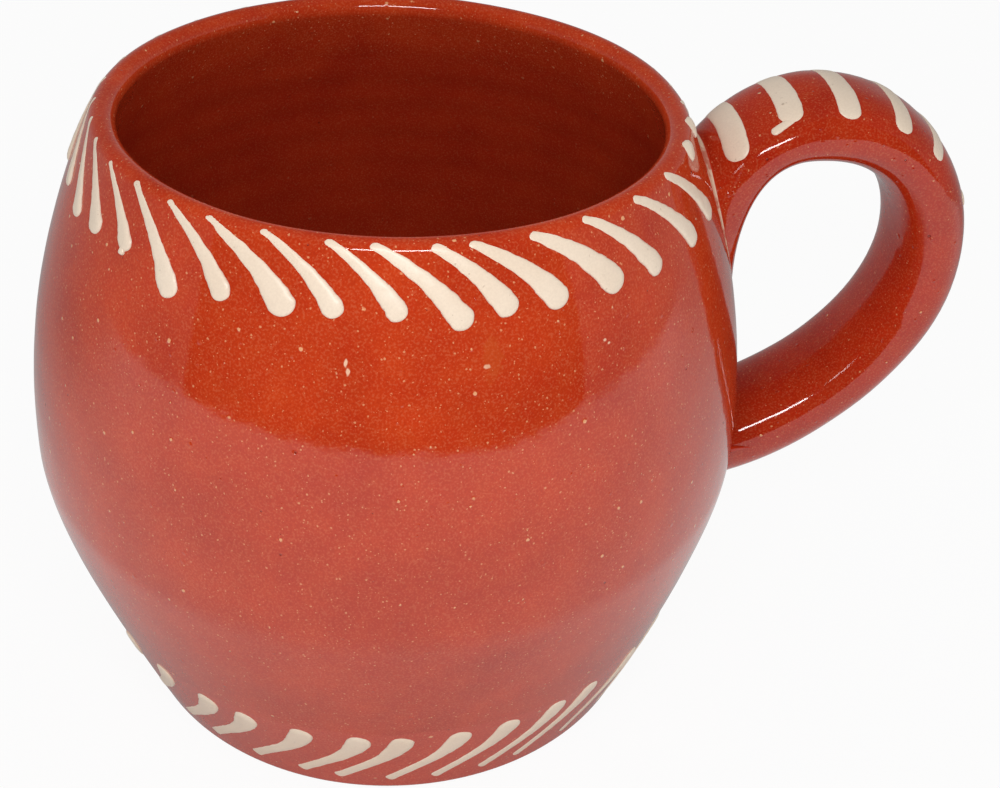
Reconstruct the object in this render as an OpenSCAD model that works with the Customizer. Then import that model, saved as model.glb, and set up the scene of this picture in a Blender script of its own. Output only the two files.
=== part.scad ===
// Round-bellied clay mug: a thrown body, a pulled strap handle luted to the wall,
// and borders of raised slip strokes round the rim, over the handle and round the foot.
// Millimetres. The axis of the body is Z, the base rests on z = 0, the handle points along +X.

/* [Thrown body] */
// Height of the mug, to the crest of the rim
mug_height = 88; // [84:0.5:94]
// Radius of the belly at its widest
belly_radius = 50; // [47:0.5:54]
// Height of the widest part of the belly
belly_height = 40.5; // [37:0.5:44]
// Radius of the base, where the wall would meet the table
base_radius = 38.5; // [35:0.5:41]
// Outer radius of the rim
rim_radius = 38.8; // [36:0.2:41]
// Thickness of the rolled rim
rim_thickness = 3.5; // [3:0.1:4.5]
// Thickness of the wall at the belly
belly_wall = 4.5; // [3.5:0.1:6]
// Thickness of the floor
floor_thickness = 6; // [4:0.5:8]
// Radius of the level part of the floor inside
floor_radius = 22; // [16:1:28]
// Radius of the sponged edge of the base
base_edge = 1.2; // [0.6:0.1:2]

/* [Curves of the wall] */
// Lean of the wall above the base, in degrees from upright
foot_lean = 19.5; // [15:0.5:23]
// How far the wall runs straight up from the base before it bends
foot_pull = 7.6; // [4:0.2:11]
// How far the wall runs upright below the belly
belly_fall = 9.5; // [6:0.5:14]
// How far the wall runs upright above the belly
belly_rise = 19; // [14:0.5:24]
// Lean of the shoulder below the rim, in degrees from upright
shoulder_lean = 26.5; // [22:0.5:30]
// How far the shoulder runs straight below the rim
shoulder_pull = 12.5; // [8:0.5:16]
// How far the inside wall runs upright below the belly
inside_fall = 22; // [16:1:26]
// How far the inside runs level round the floor
floor_pull = 14; // [8:1:17]

/* [Pulled handle] */
// Width of the strap
strap_width = 18; // [14:0.5:21]
// Thickness of the strap
strap_thickness = 9.8; // [8:0.2:12]
// Fullness of the strap's rounded section, 2 being an ellipse
strap_fullness = 2.3; // [2:0.1:3]
// Depth below the rim where the back of the strap leaves the wall
crown_drop = 7.5; // [6:0.5:10]
// Climb of the back of the strap off the wall, in degrees
crown_climb = 60; // [45:5:70]
// How far the back of the strap runs straight off the wall
crown_pull = 5.5; // [4:0.5:8]
// Distance from the rim to the top of the arch
arch_reach = 18.7; // [16:0.1:21]
// Depth below the rim of the middle of the strap at the top of the arch
arch_drop = 3; // [0:0.5:6]
// How far the strap runs level before the top of the arch
arch_in = 5; // [3:0.5:7]
// How far the strap runs level after the top of the arch
arch_out = 13; // [10:0.5:15]
// Distance from the belly to the middle of the strap at its farthest
strap_reach = 26.5; // [23:0.5:30]
// Height of that farthest point above the lower root, as a share of the height of the handle
reach_share = 0.61; // [0.55:0.01:0.67]
// How far the strap runs upright above its farthest point
reach_rise = 10; // [8:0.5:12]
// How far the strap runs upright below its farthest point
reach_fall = 16; // [13:0.5:19]
// Length of the thumbed tail under the upper root, as a share of the height of the handle
tail_share = 0.67; // [0.55:0.01:0.72]
// How far the thumbed tail runs up along the wall, as a share of its length
tail_pull_share = 1; // [0.7:0.05:1.1]
// Depth below the belly of the upper side of the lower root
heel_drop = 1; // [-1.5:0.5:3.5]
// Height of the lower root on the wall
heel_thickness = 12.5; // [10:0.5:15]
// Climb of the upper side of the strap off the lower root, in degrees
heel_climb = 17.5; // [12:0.5:24]
// Climb of the under side of the strap off the lower root, in degrees
heel_low_climb = 6; // [2:0.5:12]
// How far the upper side runs straight off the lower root
heel_pull = 9.5; // [7:0.5:12]
// How far the under side runs straight off the lower root
heel_low_pull = 14; // [11:0.5:17]
// How far the strap spreads to each side where it meets the wall
root_spread = 2; // [1:0.5:3]
// Thickness of the slip that lutes the strap to the wall
luting_thickness = 0.4; // [0.3:0.1:0.8]
// How far the luting slip is squeezed out round the strap
luting_squeeze = 0.4; // [0.2:0.1:0.8]

/* [Slip strokes] */
// Radius of the round head of a stroke
stroke_head_radius = 1.5; // [1:0.1:1.8]
// Radius of the tail of a stroke
stroke_tail_radius = 0.6; // [0.4:0.1:0.8]
// How late a stroke widens from its tail to its head, 1 being evenly
stroke_flare = 1.3; // [1:0.1:2]
// Height of the slip at the head of a stroke
stroke_relief = 0.6; // [0.3:0.1:1]
// Distance over the rim from its crest to the tail of a rim stroke
rim_stroke_start = 1; // [0.5:0.1:1.5]
// Distance over the rim from its crest to the head of a rim stroke
rim_stroke_end = 10.3; // [8:0.1:12]
// Turn of a rim stroke about the axis, in degrees
rim_stroke_turn = 13; // [6:0.5:14]
// How far a rim stroke bows out of its straight line
rim_stroke_bow = 0.9; // [0:0.1:1.2]
// Distance up the wall from the base to the tail of a foot stroke
foot_stroke_start = 4; // [2:0.1:5]
// Distance up the wall from the base to the head of a foot stroke
foot_stroke_end = 18; // [14:0.5:20]
// Turn of a foot stroke about the axis, in degrees
foot_stroke_turn = 13.5; // [8:0.5:15]
// How far a foot stroke bows out of its straight line
foot_stroke_bow = 1.2; // [0:0.1:1.5]
// Number of strokes over the handle
handle_stroke_count = 6; // [3:1:8]
// Distance along the back of the strap to the tail of the first stroke
handle_stroke_start = 6.5; // [5.5:0.5:9]
// Distance from one handle stroke to the next
handle_stroke_pitch = 8.1; // [7:0.1:9]
// How far a handle stroke runs back along the strap while it crosses it
handle_stroke_slant = 1.2; // [0:0.1:2]
// How far over the strap the tail of a stroke lies, as a share of half the strap's width
handle_far_share = 0.78; // [0.4:0.02:0.9]
// How far over the strap the head of a stroke reaches, as a share of half the strap's width
handle_near_share = 0.86; // [0.6:0.02:0.92]

/* [Hidden] */
clay = "#b5402b";
clay_handle = "#b23c28";
slip = "#e8d7c3";
// How far the strap runs into the wall before it is cut back to its seat
overrun = 0.5;
// Clearance between the underside of a stroke and the clay that carries it
seat_gap = 0.08;
// Further clearance over the strap, whose round back the straight facets of a stroke cut across
strap_gap = 0.1;
// Half the distance between two points that measure a slope
slope_step = 0.05;
curve_steps = 12;
edge_steps = 4;
rim_steps = 16;
strap_sides = 24;
$fn = 360;

// Spacing of the hand-laid strokes, as shares of an even spacing. Each table is laid again
// until the strokes close the ring.
rim_gap_shares = [0.9, 0.92, 1, 0.83, 1.2, 1.04, 0.86, 0.98, 0.83, 0.86, 0.84, 1.08, 0.93, 1.26, 1.05, 1.3, 1.07, 1.05];
foot_gap_shares = [1.1, 1.1, 0.82, 1.06, 1.03, 0.76, 1.03, 0.92, 0.98, 0.78, 1.2, 1.2];
// Length of each rim stroke as a share of the full one
rim_length_shares = [0.95, 1.02, 0.95, 0.94, 1.14, 0.95, 0.96, 0.9, 0.9, 1.03, 0.93, 0.96, 1, 1.05, 1.09, 1.1, 1, 0.97];
rim_rounds = 2;
foot_rounds = 3;
// Spacing of the handle strokes, as shares of their pitch, and how far the head of each one
// reaches, as a share of the full reach
handle_gap_shares = [1.02, 1, 1.06, 0.9, 1.4, 1, 1.05];
handle_reach_shares = [0.96, 0.9, 1, 1.02, 1.03, 0.46, 1, 0.95];
// Azimuth at which the first rim stroke and the first foot stroke end, in degrees
rim_stroke_azimuth = -169.3;
foot_stroke_azimuth = -150.4;
// Length of the rim strokes that stop above the handle, as a share of a full one
blocked_share = 0.42;
// Strokes of the foot that share a node
foot_group = 3;
rim_stroke_count = rim_rounds * len(rim_gap_shares);
foot_stroke_count = foot_rounds * len(foot_gap_shares);

// Degrees in half a turn
half_turn = 180;
// Angles on the round ends of a stroke and on its domed section, and where its straight
// flanks are divided, as shares of them
end_angles = [68, 36, 0];
dome_angles = [36, 72, 108, 144];
flank_shares = [0.12, 0.34, 0.56, 0.78];

// The names of the nodes
function numbered(name, number) = str(name, number < 10 ? "_0" : "_", number);

// Curves

// Points on a cubic curve that leaves p0 towards p1 and arrives at p3 from p2
function cubic(p0, p1, p2, p3) = [
    for (i = [0 : curve_steps])
        let (t = i / curve_steps, u = 1 - t)
            u * u * u * p0 + 3 * u * u * t * p1 + 3 * u * t * t * p2 + t * t * t * p3
];

function arc(centre, radius, start, end, steps) = [
    for (i = [0 : steps])
        let (angle = start + (end - start) * i / steps) centre + radius * [cos(angle), sin(angle)]
];

function heading(angle) = [cos(angle), sin(angle)];

// A line without its first point, to follow another one that ends there
function after_first(line) = [for (i = [1 : len(line) - 1]) line[i]];

function last(line) = line[len(line) - 1];

// Distance travelled along a line at each of its points
function travelled(line) = [
    for (i = 0, sum = 0; i < len(line);
        i = i + 1, sum = sum + (i < len(line) ? norm(line[i] - line[i - 1]) : 0)) sum
];

// A value at a place between the entries of a list
function between(list, place) =
    let (i = min(floor(place), len(list) - 2), part = place - i) (1 - part) * list[i] + part * list[i + 1];

// Outside of the thrown wall, from under the base to the crest of the rim, as [radius, height]

rim_round = rim_thickness / 2;
rim_centre = [rim_radius - rim_round, mug_height - rim_round];
foot_heading = heading(90 - foot_lean);
shoulder_heading = heading(90 + shoulder_lean);
// Where the rounded edge of the base meets the table and the wall
edge_setback = base_edge * tan((90 - foot_lean) / 2);
edge_centre = [base_radius - edge_setback, base_edge];
wall_start = [base_radius, 0] + edge_setback * foot_heading;
belly_point = [belly_radius, belly_height];
wall_end = rim_centre + rim_round * heading(shoulder_lean);
upright = [0, 1];

outer_line = concat(
    arc(edge_centre, base_edge, -90, -foot_lean, edge_steps),
    after_first(cubic(wall_start, wall_start + foot_pull * foot_heading,
        belly_point - belly_fall * upright, belly_point)),
    after_first(cubic(belly_point, belly_point + belly_rise * upright,
        wall_end - shoulder_pull * shoulder_heading, wall_end)),
    after_first(arc(rim_centre, rim_round, shoulder_lean, 90, rim_steps / 2))
);

// Inside of the wall, from the crest of the rim down to the middle of the floor

inside_start = rim_centre - rim_round * heading(shoulder_lean);
inside_belly = [belly_radius - belly_wall, belly_height];
inside_floor = [floor_radius, floor_thickness];

inner_line = concat(
    after_first(arc(rim_centre, rim_round, 90, half_turn + shoulder_lean, rim_steps)),
    after_first(cubic(inside_start, inside_start - shoulder_pull * shoulder_heading,
        inside_belly + belly_rise * upright, inside_belly)),
    after_first(cubic(inside_belly, inside_belly - inside_fall * upright,
        inside_floor + [floor_pull, 0], inside_floor)),
    [[0, floor_thickness]]
);

// Places on the outside of the wall, by the distance travelled from the base

wall_travel = travelled(outer_line);
wall_length = last(wall_travel);
radius_table = [for (i = [0 : len(outer_line) - 1]) [wall_travel[i], outer_line[i].x]];
height_table = [for (i = [0 : len(outer_line) - 1]) [wall_travel[i], outer_line[i].y]];

function wall_point(travel) = [lookup(travel, radius_table), lookup(travel, height_table)];

function wall_facing(travel) =
    let (along = wall_point(travel + slope_step) - wall_point(travel - slope_step))
        [along.y, -along.x] / norm(along);

// A point of the wall in space, lifted off its surface
function on_wall(azimuth, travel, lift) =
    let (p = wall_point(travel) + lift * wall_facing(travel))
        [p.x * cos(azimuth), p.x * sin(azimuth), p.y];

// Distance travelled and radius at a height between the base and the shoulder
travel_table = [for (i = [0 : len(outer_line) - 1]) [outer_line[i].y, wall_travel[i]]];
function wall_at_height(height) = wall_point(lookup(height, travel_table));

function lifted(line, lift) = [
    for (i = [0 : len(line) - 1])
        let (along = line[min(i + 1, len(line) - 1)] - line[max(i - 1, 0)])
            line[i] + lift * [along.y, -along.x] / norm(along)
];

// The two outlines of the strap, seen from the side, as [distance from the axis, height]

// Share of a circle's radius that a cubic's handles take, to follow a quarter of it
round_share = 0.5523;
crown_height = mug_height - crown_drop;
heel_height = belly_height - heel_drop;
heel_low_height = heel_height - heel_thickness;
handle_height = crown_height - heel_height;
tail_length = tail_share * handle_height;
tail_height = crown_height - tail_length;
arch_point = [rim_radius + arch_reach, mug_height - arch_drop];
reach_point = [belly_radius + strap_reach, heel_height + reach_share * handle_height];
half_thickness = strap_thickness / 2;

function strap_outline(side, root, root_handle, heel, heel_handle) =
    let (
        out = side * half_thickness,
        arch = arch_point + [0, out],
        reach = reach_point + [out, 0],
        round_out = round_share * out
    )
    concat(
        cubic(root, root_handle, arch - [arch_in, 0], arch),
        after_first(cubic(arch, arch + [arch_out + round_out, 0],
            reach + (reach_rise + round_out) * upright, reach)),
        after_first(cubic(reach, reach - (reach_fall + round_out) * upright, heel_handle, heel))
    );

function below_wall(height) = wall_at_height(height) - [overrun + luting_thickness, 0];

crown_root = below_wall(crown_height);
tail_root = below_wall(tail_height);
heel_root = below_wall(heel_height);
heel_low_root = below_wall(heel_low_height);
tail_facing = wall_facing(lookup(tail_height, travel_table));
tail_heading = [-tail_facing.y, tail_facing.x];

back_line = strap_outline(1, crown_root, crown_root + crown_pull * heading(crown_climb),
    heel_low_root, heel_low_root + heel_low_pull * heading(heel_low_climb));
grip_line = strap_outline(-1, tail_root, tail_root + tail_pull_share * tail_length * tail_heading,
    heel_root, heel_root + heel_pull * heading(heel_climb));

// The middle of the strap, half its depth, and its travel, station by station

stations = len(back_line) - 1;
middle_line = (back_line + grip_line) / 2;
depth_line = (back_line - grip_line) / 2;
back_travel = travelled(back_line);
back_length = last(back_travel);
station_table = [for (i = [0 : stations]) [back_travel[i], i]];

// The strap spreads in a small round fillet over the last stretch before each root
spread_length = 2 * root_spread;
function spread(travel) =
    let (near = min(travel, back_length - travel), part = max(0, 1 - near / spread_length))
        root_spread * (1 - sqrt(1 - part * part));

function strap_half_width(station) = strap_width / 2 + spread(between(back_travel, station));

// A round-cornered power of a sine or cosine, which fills the section out
function fuller(value) = sign(value) * pow(abs(value), 2 / strap_fullness);

// A closed section across the strap at a station, grown all round
function strap_ring(station, grow) =
    let (
        middle = between(middle_line, station),
        depth = between(depth_line, station),
        deep = depth * (1 + grow / norm(depth)),
        wide = strap_half_width(station) + grow
    )
    [
        for (i = [0 : strap_sides - 1])
            let (
                angle = 360 * i / strap_sides,
                p = middle + fuller(cos(angle)) * deep
            )
            [p.x, -fuller(sin(angle)) * wide, p.y]
    ];

// A point on the back of the strap, at a distance along it and to one side, lifted off it
function on_strap(travel, aside, lift) =
    let (
        station = lookup(travel, station_table),
        middle = between(middle_line, station),
        depth = between(depth_line, station),
        wide = strap_half_width(station),
        deep = norm(depth),
        share = abs(aside) / wide,
        rise_share = pow(1 - pow(share, strap_fullness), 1 / strap_fullness),
        slope = [pow(rise_share, strap_fullness - 1) / deep, sign(aside) * pow(share, strap_fullness - 1) / wide],
        facing = slope / norm(slope),
        p = middle + (rise_share + lift * facing.x / deep) * depth
    )
    [p.x, aside + lift * facing.y, p.y];

// Skins

// A closed skin over rings that each hold the same number of points
module skin(rings) {
    sides = len(rings[0]);
    ends = len(rings) - 1;
    flanks = [
        for (r = [0 : ends - 1], i = [0 : sides - 1])
            let (a = r * sides + i, b = r * sides + (i + 1) % sides)
                each [[a, a + sides, b], [b, a + sides, b + sides]]
    ];
    caps = [
        for (i = [1 : sides - 2])
            each [[0, i, i + 1], [ends * sides, ends * sides + i + 1, ends * sides + i]]
    ];
    polyhedron([for (ring = rings) each ring], concat(flanks, caps));
}

// A stroke of slip: a round tail and a round head joined by straight flanks, domed across.
// place(along, across, lift) sets its points on the surface that carries it.
module slip_stroke(length, place) {
    flank = length - stroke_tail_radius - stroke_head_radius;
    widening = stroke_head_radius - stroke_tail_radius;
    stops = concat(
        [for (a = end_angles) [stroke_tail_radius * (1 - sin(a)), stroke_tail_radius * cos(a)]],
        [for (share = flank_shares)
            [stroke_tail_radius + share * flank, stroke_tail_radius + pow(share, stroke_flare) * widening]],
        [for (i = [len(end_angles) - 1 : -1 : 0])
            let (a = end_angles[i]) [length - stroke_head_radius * (1 - sin(a)), stroke_head_radius * cos(a)]]
    );
    skin([
        for (stop = stops)
            let (along = stop.x, half = stop.y, relief = stroke_relief * sqrt(half / stroke_head_radius))
                concat(
                    [place(along, 0, seat_gap), place(along, half, seat_gap)],
                    [for (a = dome_angles) place(along, half * cos(a), seat_gap + relief * sin(a))],
                    [place(along, -half, seat_gap)]
                )
    ]);
}

// The solid that the outside of the wall encloses, grown by a lift
module wall_plug(lift) {
    line = lifted(outer_line, lift);
    rotate_extrude()
        polygon(concat([[0, line[0].y]], line, [[0, last(line).y]]));
}

// A stroke laid on the wall from one travel to another while it turns about the axis. It leaves
// its tail sideways and bows over to its head.
module wall_stroke(azimuth, start, end, turn, bow) {
    radius = wall_point((start + end) / 2).x;
    turned = radius * turn * PI / half_turn;
    length = norm([turned, end - start]);
    course = [turned, end - start] / length;
    slip_stroke(length, function (along, across, lift)
        let (
            aside = across - sign(end - start) * bow * sin(half_turn * along / length),
            laid = along * course + aside * [-course.y, course.x]
        )
        on_wall(azimuth + (laid.x - turned) / radius * half_turn / PI, start + laid.y, lift));
}

// Nodes

module body() {
    color(clay)
        rotate_extrude()
            polygon(concat([[0, 0]], outer_line, inner_line));
}

module handle() {
    color(clay_handle)
        difference() {
            skin([for (station = [0 : stations]) strap_ring(station, 0)]);
            wall_plug(luting_thickness);
        }
}

// Clay slip between the wall and one root of the strap, squeezed out a little round it
module luting(first, last) {
    color(clay)
        difference() {
            intersection() {
                wall_plug(luting_thickness);
                skin([for (station = [first : last]) strap_ring(station, luting_squeeze)]);
            }
            wall_plug(0);
        }
}

// Stations of the strap near enough to the wall to meet the luting
root_stations = curve_steps / 2;
module upper_luting() luting(0, root_stations);
module lower_luting() luting(stations - root_stations, stations);

// Azimuth of a stroke's head in a ring of hand-laid strokes
function laid_azimuth(number, first, shares, rounds) =
    let (
        total = rounds * sum_of(shares, len(shares)),
        before = floor((number - 1) / len(shares)) * sum_of(shares, len(shares))
            + sum_of(shares, (number - 1) % len(shares))
    )
    first + 360 * before / total;

// Sum of the first entries of a list
function sum_of(list, count) = count == 0 ? 0 : list[count - 1] + sum_of(list, count - 1);

// Half the angle that the upper root takes of the rim
blocked_angle = atan((strap_width / 2 + root_spread) / rim_radius);

function rim_azimuth(number) = laid_azimuth(number, rim_stroke_azimuth, rim_gap_shares, rim_rounds);

module rim_stroke(number) {
    azimuth = rim_azimuth(number);
    blocked = abs(azimuth - rim_stroke_turn / 4) < blocked_angle;
    share = blocked ? blocked_share : rim_length_shares[(number - 1) % len(rim_length_shares)];
    drop = rim_stroke_end - rim_stroke_start;
    head = wall_length - rim_stroke_start - share * drop;
    color(slip)
        wall_stroke(azimuth - (1 - share) * rim_stroke_turn, wall_length - rim_stroke_start, head,
            share * rim_stroke_turn, share * rim_stroke_bow);
}

module foot_strokes(group) {
    for (i = [1 : foot_group])
        color(slip)
            wall_stroke(
                laid_azimuth((group - 1) * foot_group + i, foot_stroke_azimuth, foot_gap_shares, foot_rounds),
                foot_stroke_start, foot_stroke_end, foot_stroke_turn, foot_stroke_bow);
}

module handle_stroke(number) {
    start = handle_stroke_start + sum_of(handle_gap_shares, number - 1) * handle_stroke_pitch;
    far = handle_far_share * strap_width / 2;
    near = handle_near_share * handle_reach_shares[number - 1] * strap_width / 2;
    length = far + near;
    color(slip)
        slip_stroke(length, function (along, across, lift)
            on_strap(start - handle_stroke_slant * along / length + across, far - along, lift + strap_gap));
}

body();
handle();
upper_luting();
lower_luting();
for (i = [1 : rim_stroke_count])
    rim_stroke(i);
for (i = [1 : handle_stroke_count])
    handle_stroke(i);
for (i = [1 : foot_stroke_count / foot_group])
    foot_strokes(i);
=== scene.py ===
"""Round-bellied clay mug with borders of raised slip strokes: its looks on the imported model.

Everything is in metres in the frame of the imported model. The axis of the mug is Z, the base
rests on z = 0 and the handle points along +X. Sizes of the clay are kept in millimetres, as
potters take them, and turned into metres where a mesh is made.
"""

import logging
import math
from dataclasses import dataclass, field
from enum import Enum

import bmesh
import bpy
import numpy as np
from mathutils import Euler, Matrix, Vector
from mathutils.bvhtree import BVHTree


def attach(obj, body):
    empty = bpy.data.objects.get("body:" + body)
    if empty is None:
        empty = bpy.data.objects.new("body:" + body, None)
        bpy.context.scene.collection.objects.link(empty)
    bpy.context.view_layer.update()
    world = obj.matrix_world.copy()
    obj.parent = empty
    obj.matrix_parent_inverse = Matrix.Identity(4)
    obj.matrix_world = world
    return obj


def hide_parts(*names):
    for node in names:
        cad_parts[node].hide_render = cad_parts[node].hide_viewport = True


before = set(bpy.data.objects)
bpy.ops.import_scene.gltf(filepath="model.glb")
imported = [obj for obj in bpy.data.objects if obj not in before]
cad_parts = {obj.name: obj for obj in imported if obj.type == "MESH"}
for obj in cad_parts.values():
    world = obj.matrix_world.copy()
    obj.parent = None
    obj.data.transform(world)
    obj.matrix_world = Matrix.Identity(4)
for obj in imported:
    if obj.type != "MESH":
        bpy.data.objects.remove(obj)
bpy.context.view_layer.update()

MM = 0.001
BODY = "root"
FACING = "facing"
LOG = logging.getLogger("mug")

Colour = tuple[float, float, float, float]
WHITE: Colour = (1.0, 1.0, 1.0, 1.0)
Socket = bpy.types.NodeSocket


def screen_colour(red: float, green: float, blue: float) -> Colour:
    """Turn a colour as a screen shows it into the linear colour that a shader takes.

    Args:
        red: Red, 0 to 255.
        green: Green, 0 to 255.
        blue: Blue, 0 to 255.

    Returns:
        The linear colour with full opacity.
    """

    def linear(level: float) -> float:
        """Linear value of one channel."""
        share = level / 255
        return share / 12.92 if share <= 0.04045 else ((share + 0.055) / 1.055) ** 2.4

    return linear(red), linear(green), linear(blue), 1.0


# Node trees


class Nodes:
    """Adds and links the nodes of one tree.

    The noise spread is how far the noise is stretched, so that it mostly fills -1 to 1.
    """

    noise_spread = 4.0

    def __init__(self, tree: bpy.types.NodeTree) -> None:
        """Keep the tree that the nodes go into."""
        self.tree = tree

    @classmethod
    def cleared(cls, owner: bpy.types.Material | bpy.types.World) -> "Nodes":
        """Start a material or a world with an empty node tree.

        Args:
            owner: The material or the world.

        Returns:
            The nodes of its tree, none yet.
        """
        owner.use_nodes = True
        owner.node_tree.nodes.clear()
        return cls(owner.node_tree)

    def feed(self, socket: Socket, value: object) -> None:
        """Link a socket to an output, or give it a plain value.

        Args:
            socket: The input to feed.
            value: An output socket, or a value for the input.
        """
        if isinstance(value, bpy.types.NodeSocket):
            self.tree.links.new(value, socket)
        else:
            socket.default_value = value

    def add(self, kind: str, inputs: dict | None = None, **settings: object) -> bpy.types.Node:
        """Add a node.

        Args:
            kind: Blender's name of the node type.
            inputs: Values or output sockets, by the name or number of the input.
            settings: Properties of the node.

        Returns:
            The new node.
        """
        node = self.tree.nodes.new(kind)
        for name, value in settings.items():
            setattr(node, name, value)
        for key, value in (inputs or {}).items():
            self.feed(node.inputs[key], value)
        return node

    def math(self, operation: str, *values: object, clamp: bool = False) -> Socket:
        """Add a Math node.

        Args:
            operation: The operation.
            values: Its values or sockets, in order.
            clamp: Keep the result between 0 and 1.

        Returns:
            The result.
        """
        node = self.add("ShaderNodeMath", dict(enumerate(values)), operation=operation, use_clamp=clamp)
        return node.outputs[0]

    def vector(self, operation: str, *values: object) -> Socket:
        """Add a Vector Math node.

        Args:
            operation: The operation.
            values: Its vectors or sockets, in order.

        Returns:
            The resulting vector, or the number for operations that give one.
        """
        node = self.add("ShaderNodeVectorMath", dict(enumerate(values)), operation=operation)
        gives_number = operation in {"DOT_PRODUCT", "LENGTH", "DISTANCE"}
        return node.outputs["Value" if gives_number else "Vector"]

    def scaled(self, vector: object, factor: object) -> Socket:
        """Multiply a vector by a number.

        Args:
            vector: The vector.
            factor: The number.

        Returns:
            The longer or shorter vector.
        """
        inputs = {0: vector, "Scale": factor}
        return self.add("ShaderNodeVectorMath", inputs, operation="SCALE").outputs["Vector"]

    def ramp(
        self, value: object, low: object, high: object, first: object = 0.0, last: object = 1.0
    ) -> Socket:
        """Move smoothly from one level to another while a value runs between two bounds.

        Args:
            value: The value.
            low: Bound at which the result is first.
            high: Bound at which the result is last. It may be below low.
            first: Result at low.
            last: Result at high.

        Returns:
            The level.
        """
        inputs = {"Value": value, "From Min": low, "From Max": high, "To Min": first, "To Max": last}
        return self.add("ShaderNodeMapRange", inputs, interpolation_type="SMOOTHSTEP").outputs[0]

    def blend(self, share: object, first: object, second: object) -> Socket:
        """Mix two colours.

        Args:
            share: Share of the second one.
            first: First colour.
            second: Second colour.

        Returns:
            The mixed colour.
        """
        # Inputs 6 and 7 and output 2 of the node are the ones for colours
        return self.add("ShaderNodeMix", {0: share, 6: first, 7: second}, data_type="RGBA").outputs[2]

    def height(self, position: object) -> Socket:
        """Height of a place above the ground."""
        return self.add("ShaderNodeSeparateXYZ", {0: position}).outputs["Z"]

    def attribute(self, name: str) -> Socket:
        """Number that the surface of a piece carries under a name."""
        return self.add("ShaderNodeAttribute", attribute_name=name).outputs["Fac"]

    def mask(
        self, position: object, scale: object, detail: float, seed: object = 0.0, contrast: float = 0.5
    ) -> Socket:
        """Smooth noise in space, as a mask from 0 to 1 about one half."""
        return self.math("MULTIPLY_ADD", self.noise(position, scale, detail, seed), contrast, 0.5, clamp=True)

    def noise(self, position: object, scale: object, detail: float = 2.0, seed: object = 0.0) -> Socket:
        """Smooth noise about 0, in space.

        Args:
            position: Place where it is read.
            scale: Waves in a metre.
            detail: Number of finer octaves.
            seed: Place along a fourth axis, to get another pattern.

        Returns:
            The noise, mostly between -1 and 1.
        """
        inputs = {"Vector": position, "Scale": scale, "Detail": detail, "W": seed}
        level = self.add("ShaderNodeTexNoise", inputs, noise_dimensions="4D").outputs[0]
        return self.math("MULTIPLY_ADD", level, self.noise_spread, -self.noise_spread / 2)


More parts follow.
